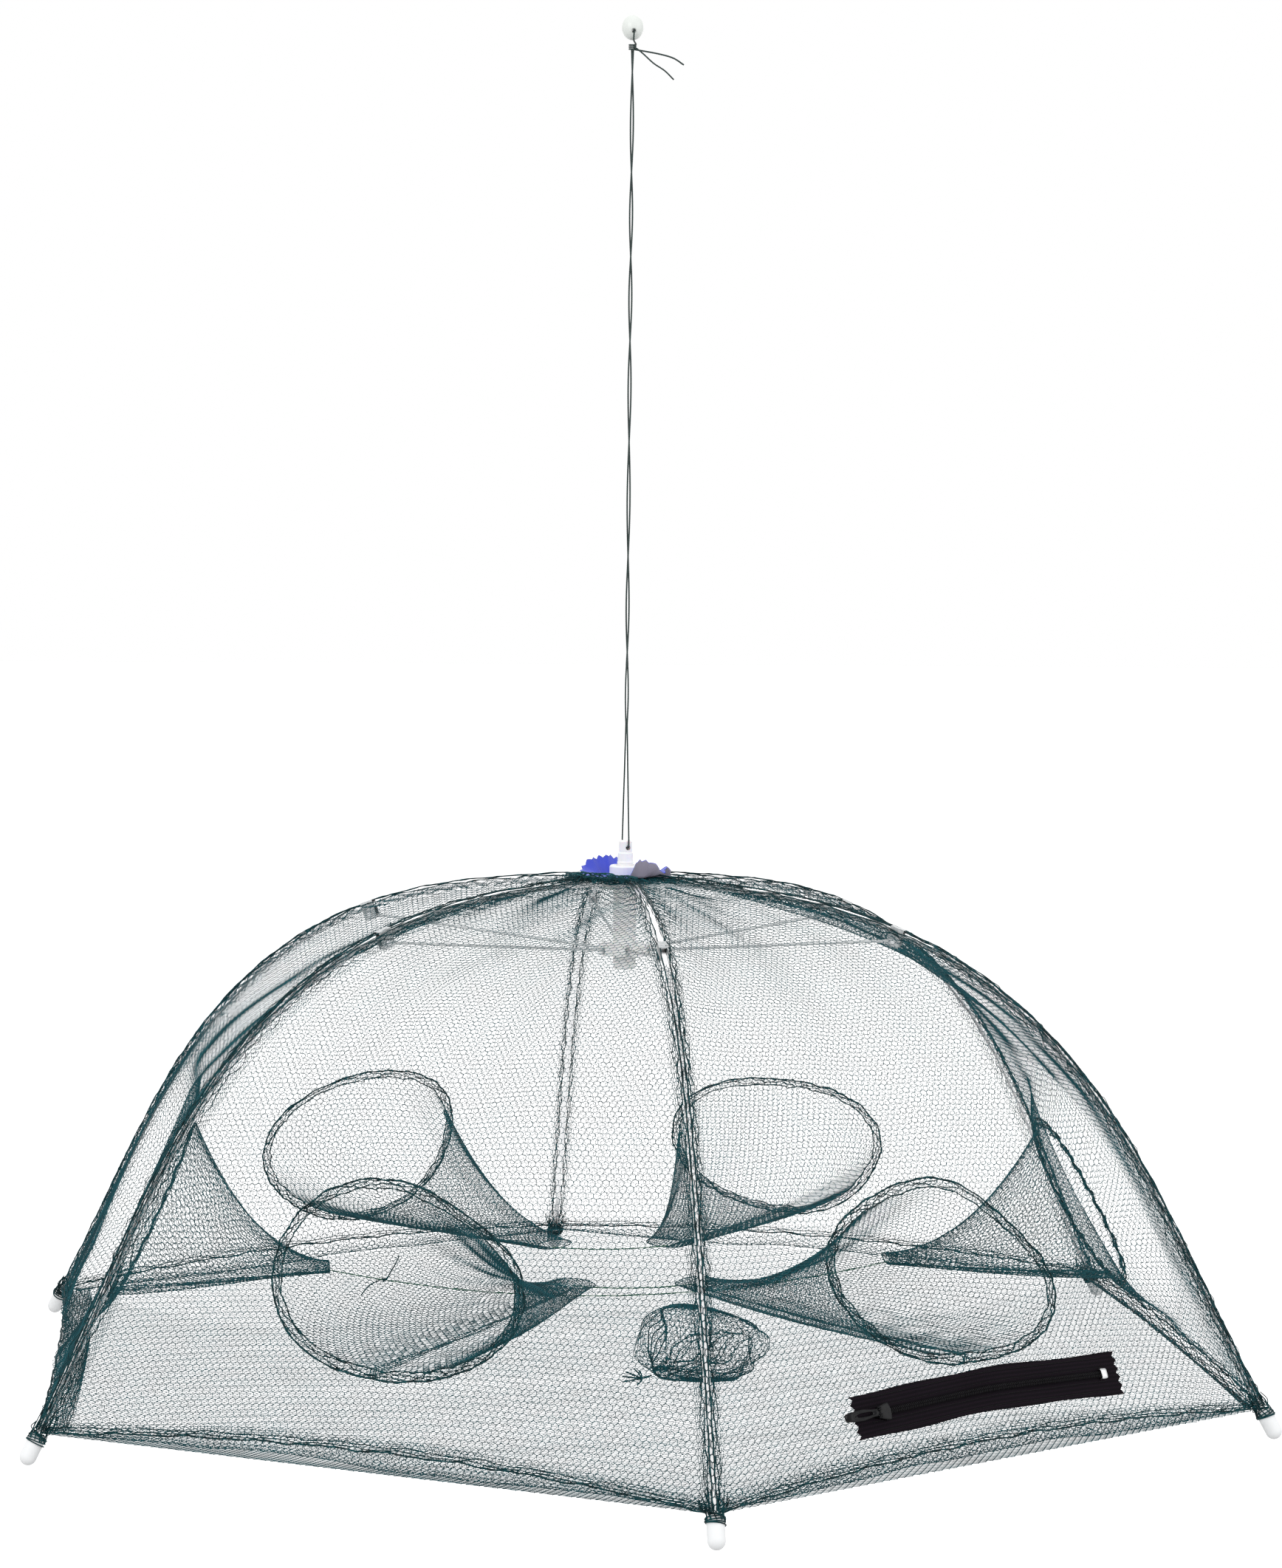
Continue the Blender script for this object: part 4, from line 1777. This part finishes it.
    def puller(self) -> Surface:
        """The puller: a plate with a slot, a waist and a rounded end, hung from the pin.

        Its outline is a closed loop round a slot; thickness joins the outline and the slot on
        both faces.
        """
        turn = np.linspace(0.0, TAU, 72, endpoint=False)
        x = 0.0004 + self.puller_length / 2 * (np.cos(turn) - 1.0)
        waist = self.puller_half * (0.72 + 0.28 * np.clip((0.5 - np.cos(turn)) * 2.0, 0.0, 1.0))
        y = waist * np.sign(np.sin(turn)) * np.abs(np.sin(turn)) ** 0.35
        y = np.where(x > -0.0030, np.clip(y, -0.0019, 0.0019), y)
        slot_x = -0.0103 + 0.0052 * np.cos(turn)
        slot_y = 0.00125 * np.sign(np.sin(turn)) * np.abs(np.sin(turn)) ** 0.5
        rings = [np.column_stack([out, aside, np.full_like(x, level)])
                 for out, aside, level in ((x, y, 0.0), (x, y * 0.97, 0.00042),
                                           (slot_x, slot_y, 0.00045), (slot_x, slot_y, -0.00045),
                                           (x, y * 0.97, -0.00042))]
        surface = closed_ring(np.array(rings)).flipped()
        height = self.roof + self.wall + self.pin_rise
        droop = math.asin((height - 0.0013 - self.tape / 2) / 0.0240)
        turn_down = np.array([[math.cos(droop), 0.0, -math.sin(droop)], [0.0, 1.0, 0.0],
                              [math.sin(droop), 0.0, math.cos(droop)]])
        loop = np.linspace(0.0, TAU, 25)
        eye = np.column_stack([0.00115 * np.cos(loop), np.zeros_like(loop), 0.00115 * np.sin(loop)])
        parts = [placed(surface, turn_down, np.zeros(3))]
        for offset in (-0.0012, 0.0012):
            parts.append(ring_tube(eye + np.array([0.0, offset, 0.0]), 0.00042, 6, (0.0, 1.0, 0.0)))
        return join(parts).moved(np.array([self.slider_start - self.pin_back, 0.0, height]))

    def stop(self) -> Surface:
        """The end stop: a folded metal clamp across the coil."""
        across = np.linspace(0.0, math.pi, 25)[None, :]
        share = np.linspace(-1.0, 1.0, 12)[:, None]
        outer = 0.0033 * np.sign(np.cos(across)) * np.abs(np.cos(across)) ** 0.45
        base = self.tape / 2 + self.clearance
        tall = self.coil_height + self.wall - self.clearance
        x = self.stop_place + 0.0021 * share + 0.0 * across
        bulge = 1.0 - 0.06 * share ** 4
        shift = self.kink(x)
        arch = np.abs(np.sin(across)) ** 0.45 * bulge
        top = np.stack([x, shift + outer * bulge, base + tall * arch], axis=-1)
        low = np.stack([x, shift + outer * 0.74 * bulge, base + (tall - 0.0009) * arch], axis=-1)
        return slab(top, low)

    def build(self) -> None:
        """Makes the zip's pieces, each half of the tape on the rib that its netting goes with."""
        left = self.panels.fold(self.side)
        right = self.panels.fold(self.side + 1)
        half = self.length / 2 - self.coil_end
        for label, sign, fold, rib in (("left", -1.0, left, 1), ("right", 1.0, right, 2)):
            low, high = (-half, 0.0) if sign < 0 else (0.0, half)
            self.make(f"zip_tape_{label}", f"rib_{rib}", "zip_tape", TAPE_BLACK, ("zip_tape",), fold,
                      False, self.tape_half(sign))
            teeth = join([self.coil(1.0, low, high), self.coil(-1.0, low + 0.00067, high),
                          self.stitches(low, high)])
            self.make(f"zip_coil_{label}", f"rib_{rib}", "zip_tape", COIL_BLACK, (), fold, True, teeth)
        self.make("slider", "zip_slider", "zip_black", ENAMEL_BLACK, ("zip_slider",), left, True,
                  self.shifted(self.slider()))
        self.make("puller", "zip_puller", "zip_black", ENAMEL_BLACK, ("zip_puller",), left, True,
                  self.shifted(self.puller()))
        self.make("end_stop", "rib_2", "zip_stop", STOP_METAL, ("zip_stop",), right, True, self.stop())


# Studio


@dataclass
class Studio:
    """A pale floor, soft light and the camera at the photograph's angle."""

    floor_level: float = -1.25
    floor_glow: float = 1.6
    room_light: float = 0.98
    position: Triple = (-0.2806, -2.305, -0.341)
    heading: tuple[float, float] = (0.1208, 0.9927)
    pitch: float = math.radians(3.48)
    roll: float = math.radians(0.51)
    focal: float = 4890.0
    image: tuple[int, int] = (1736, 2123)
    offset: float = 20.5
    sensor: float = 36.0
    light_aim: float = -0.5
    floor_half: float = 30.0
    lights: tuple[tuple[str, Triple, float, float], ...] = (
        ("key_light", (-1.9, -2.2, 0.9), 1.8, 26.0), ("fill_light", (2.3, -1.4, 0.3), 2.0, 14.0),
        ("back_light", (0.4, 2.4, 0.8), 2.0, 12.0))

    def camera(self) -> None:
        """Sets the camera by its place, heading, pitch, roll and focal length in pixels."""
        data = bpy.data.cameras.new("view_camera")
        long_side = max(self.image)
        data.sensor_width = self.sensor
        data.lens = self.focal / long_side * self.sensor
        data.shift_x = self.offset / long_side
        data.clip_end = 60.0
        ahead = np.array([self.heading[0] * math.cos(self.pitch), self.heading[1] * math.cos(self.pitch),
                          -math.sin(self.pitch)])
        right = unit(np.cross(ahead, UP))
        rise = np.cross(right, ahead)
        tilted = right * math.cos(self.roll) + rise * math.sin(self.roll)
        made = linked("view_camera", data)
        self.aim(made, tilted, ahead, self.position)
        bpy.context.scene.camera = made

    def aim(self, made: bpy.types.Object, right: Array, ahead: Array, place: Triple) -> None:
        """Sets a camera or a light in its place, facing ahead."""
        matrix = np.eye(4)
        matrix[:3, 0], matrix[:3, 1], matrix[:3, 2] = right, np.cross(right, ahead), -ahead
        matrix[:3, 3] = place
        made.matrix_world = Matrix(matrix.tolist())

    def light(self, name: str, place: Triple, size: float, power: float) -> None:
        """One square soft light that faces the trap's middle."""
        data = bpy.data.lights.new(name, "AREA")
        data.shape = "SQUARE"
        data.size = size
        data.energy = power
        made = linked(name, data)
        ahead = unit(np.array([0.0, 0.0, self.light_aim]) - np.array(place))
        self.aim(made, unit(np.cross(ahead, UP)), ahead, place)

    def world(self) -> None:
        """A pale room: white to the camera, in gloss and through clear parts, softer as a light."""
        scene = bpy.context.scene
        world = bpy.data.worlds.new("pale_room")
        scene.world = world
        world.use_nodes = True
        tree = world.node_tree
        tree.nodes.clear()
        blend = tree.nodes.new("ShaderNodeMixShader")
        tree.links.new(self.shown(tree), blend.inputs["Fac"])
        for entry, strength in ((1, self.room_light), (2, 1.0)):
            pale = tree.nodes.new("ShaderNodeBackground")
            pale.inputs["Color"].default_value = (1.0, 1.0, 1.0, 1.0)
            pale.inputs["Strength"].default_value = strength
            tree.links.new(pale.outputs["Background"], blend.inputs[entry])
        output = tree.nodes.new("ShaderNodeOutputWorld")
        tree.links.new(blend.outputs["Shader"], output.inputs["Surface"])

    def shown(self, tree: Tree) -> Socket:
        """1 for a ray of the camera, of gloss or of a clear part, otherwise 0."""
        path = tree.nodes.new("ShaderNodeLightPath").outputs
        plain = combined(tree, "MAXIMUM", path["Is Camera Ray"], path["Is Glossy Ray"])
        return combined(tree, "MAXIMUM", plain, path["Is Transmission Ray"])

    def floor(self) -> None:
        """A wide pale floor that keeps the shadow and is white to the camera elsewhere."""
        data = bpy.data.meshes.new("studio_floor")
        data.from_pydata([(x * self.floor_half, y * self.floor_half, self.floor_level)
                          for x, y in ((-1, -1), (1, -1), (1, 1), (-1, 1))], [], [(0, 1, 2, 3)])
        made = linked("studio_floor", data)
        paint = bpy.data.materials.new("studio_floor_paint")
        paint.use_nodes = True
        tree = paint.node_tree
        shader = tree.nodes["Principled BSDF"]
        shader.inputs["Base Color"].default_value = (0.90, 0.90, 0.90, 1.0)
        shader.inputs["Roughness"].default_value = 0.9
        glow = tree.nodes.new("ShaderNodeEmission")
        tree.links.new(combined(tree, "MULTIPLY", self.shown(tree), self.floor_glow),
                       glow.inputs["Strength"])
        soft = tree.nodes.new("ShaderNodeMixShader")
        soft.inputs["Fac"].default_value = 0.45
        output = tree.nodes["Material Output"]
        tree.links.new(shader.outputs["BSDF"], soft.inputs[1])
        tree.links.new(glow.outputs["Emission"], soft.inputs[2])
        tree.links.new(soft.outputs["Shader"], output.inputs["Surface"])
        data.materials.append(paint)

    def build(self) -> None:
        """Sets up the view, the light and the floor."""
        bpy.context.scene.view_settings.view_transform = "Standard"
        self.camera()
        self.world()
        self.floor()
        for row in self.lights:
            self.light(*row)


# The whole


def dress_solids() -> None:
    """Gives each solid that stays in view its finish by the record's material slots."""
    slots = {row["node"]: row["material_slot"] for row in frame["record"]["subparts"]}
    for name, made in frame["nodes"].items():
        finish = CAD_FINISHES.get(slots.get(name, ""))
        if finish is None:
            continue
        for slot in made.material_slots:
            slot.material = finish.material()
        LOG.info("%s: %s", name, finish.name)


def main() -> None:
    """Builds the studio, the cords, the netting and the fittings in order."""
    logging.basicConfig(level=logging.INFO, format="%(name)s: %(message)s")
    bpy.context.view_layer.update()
    dome = Dome()
    Studio().build()
    panels = SidePanels(dome, Weave())
    funnels = Funnels(dome, Weave(0.0043, 0.000240), panels)
    PullCord(dome).build()
    TieStrings(dome, funnels).build()
    panels.build()
    funnels.build()
    Floor(dome, Weave(0.0042, 0.000230)).build()
    BaitBag(dome, Weave(0.0040, 0.00027)).build()
    HubGather(dome).build()
    ClothDisc(dome).build()
    Feet(dome).build()
    Zip(dome, panels).build()
    dress_solids()
    LOG.info("whole trap dressed")


if __name__ == "__main__":
    main()
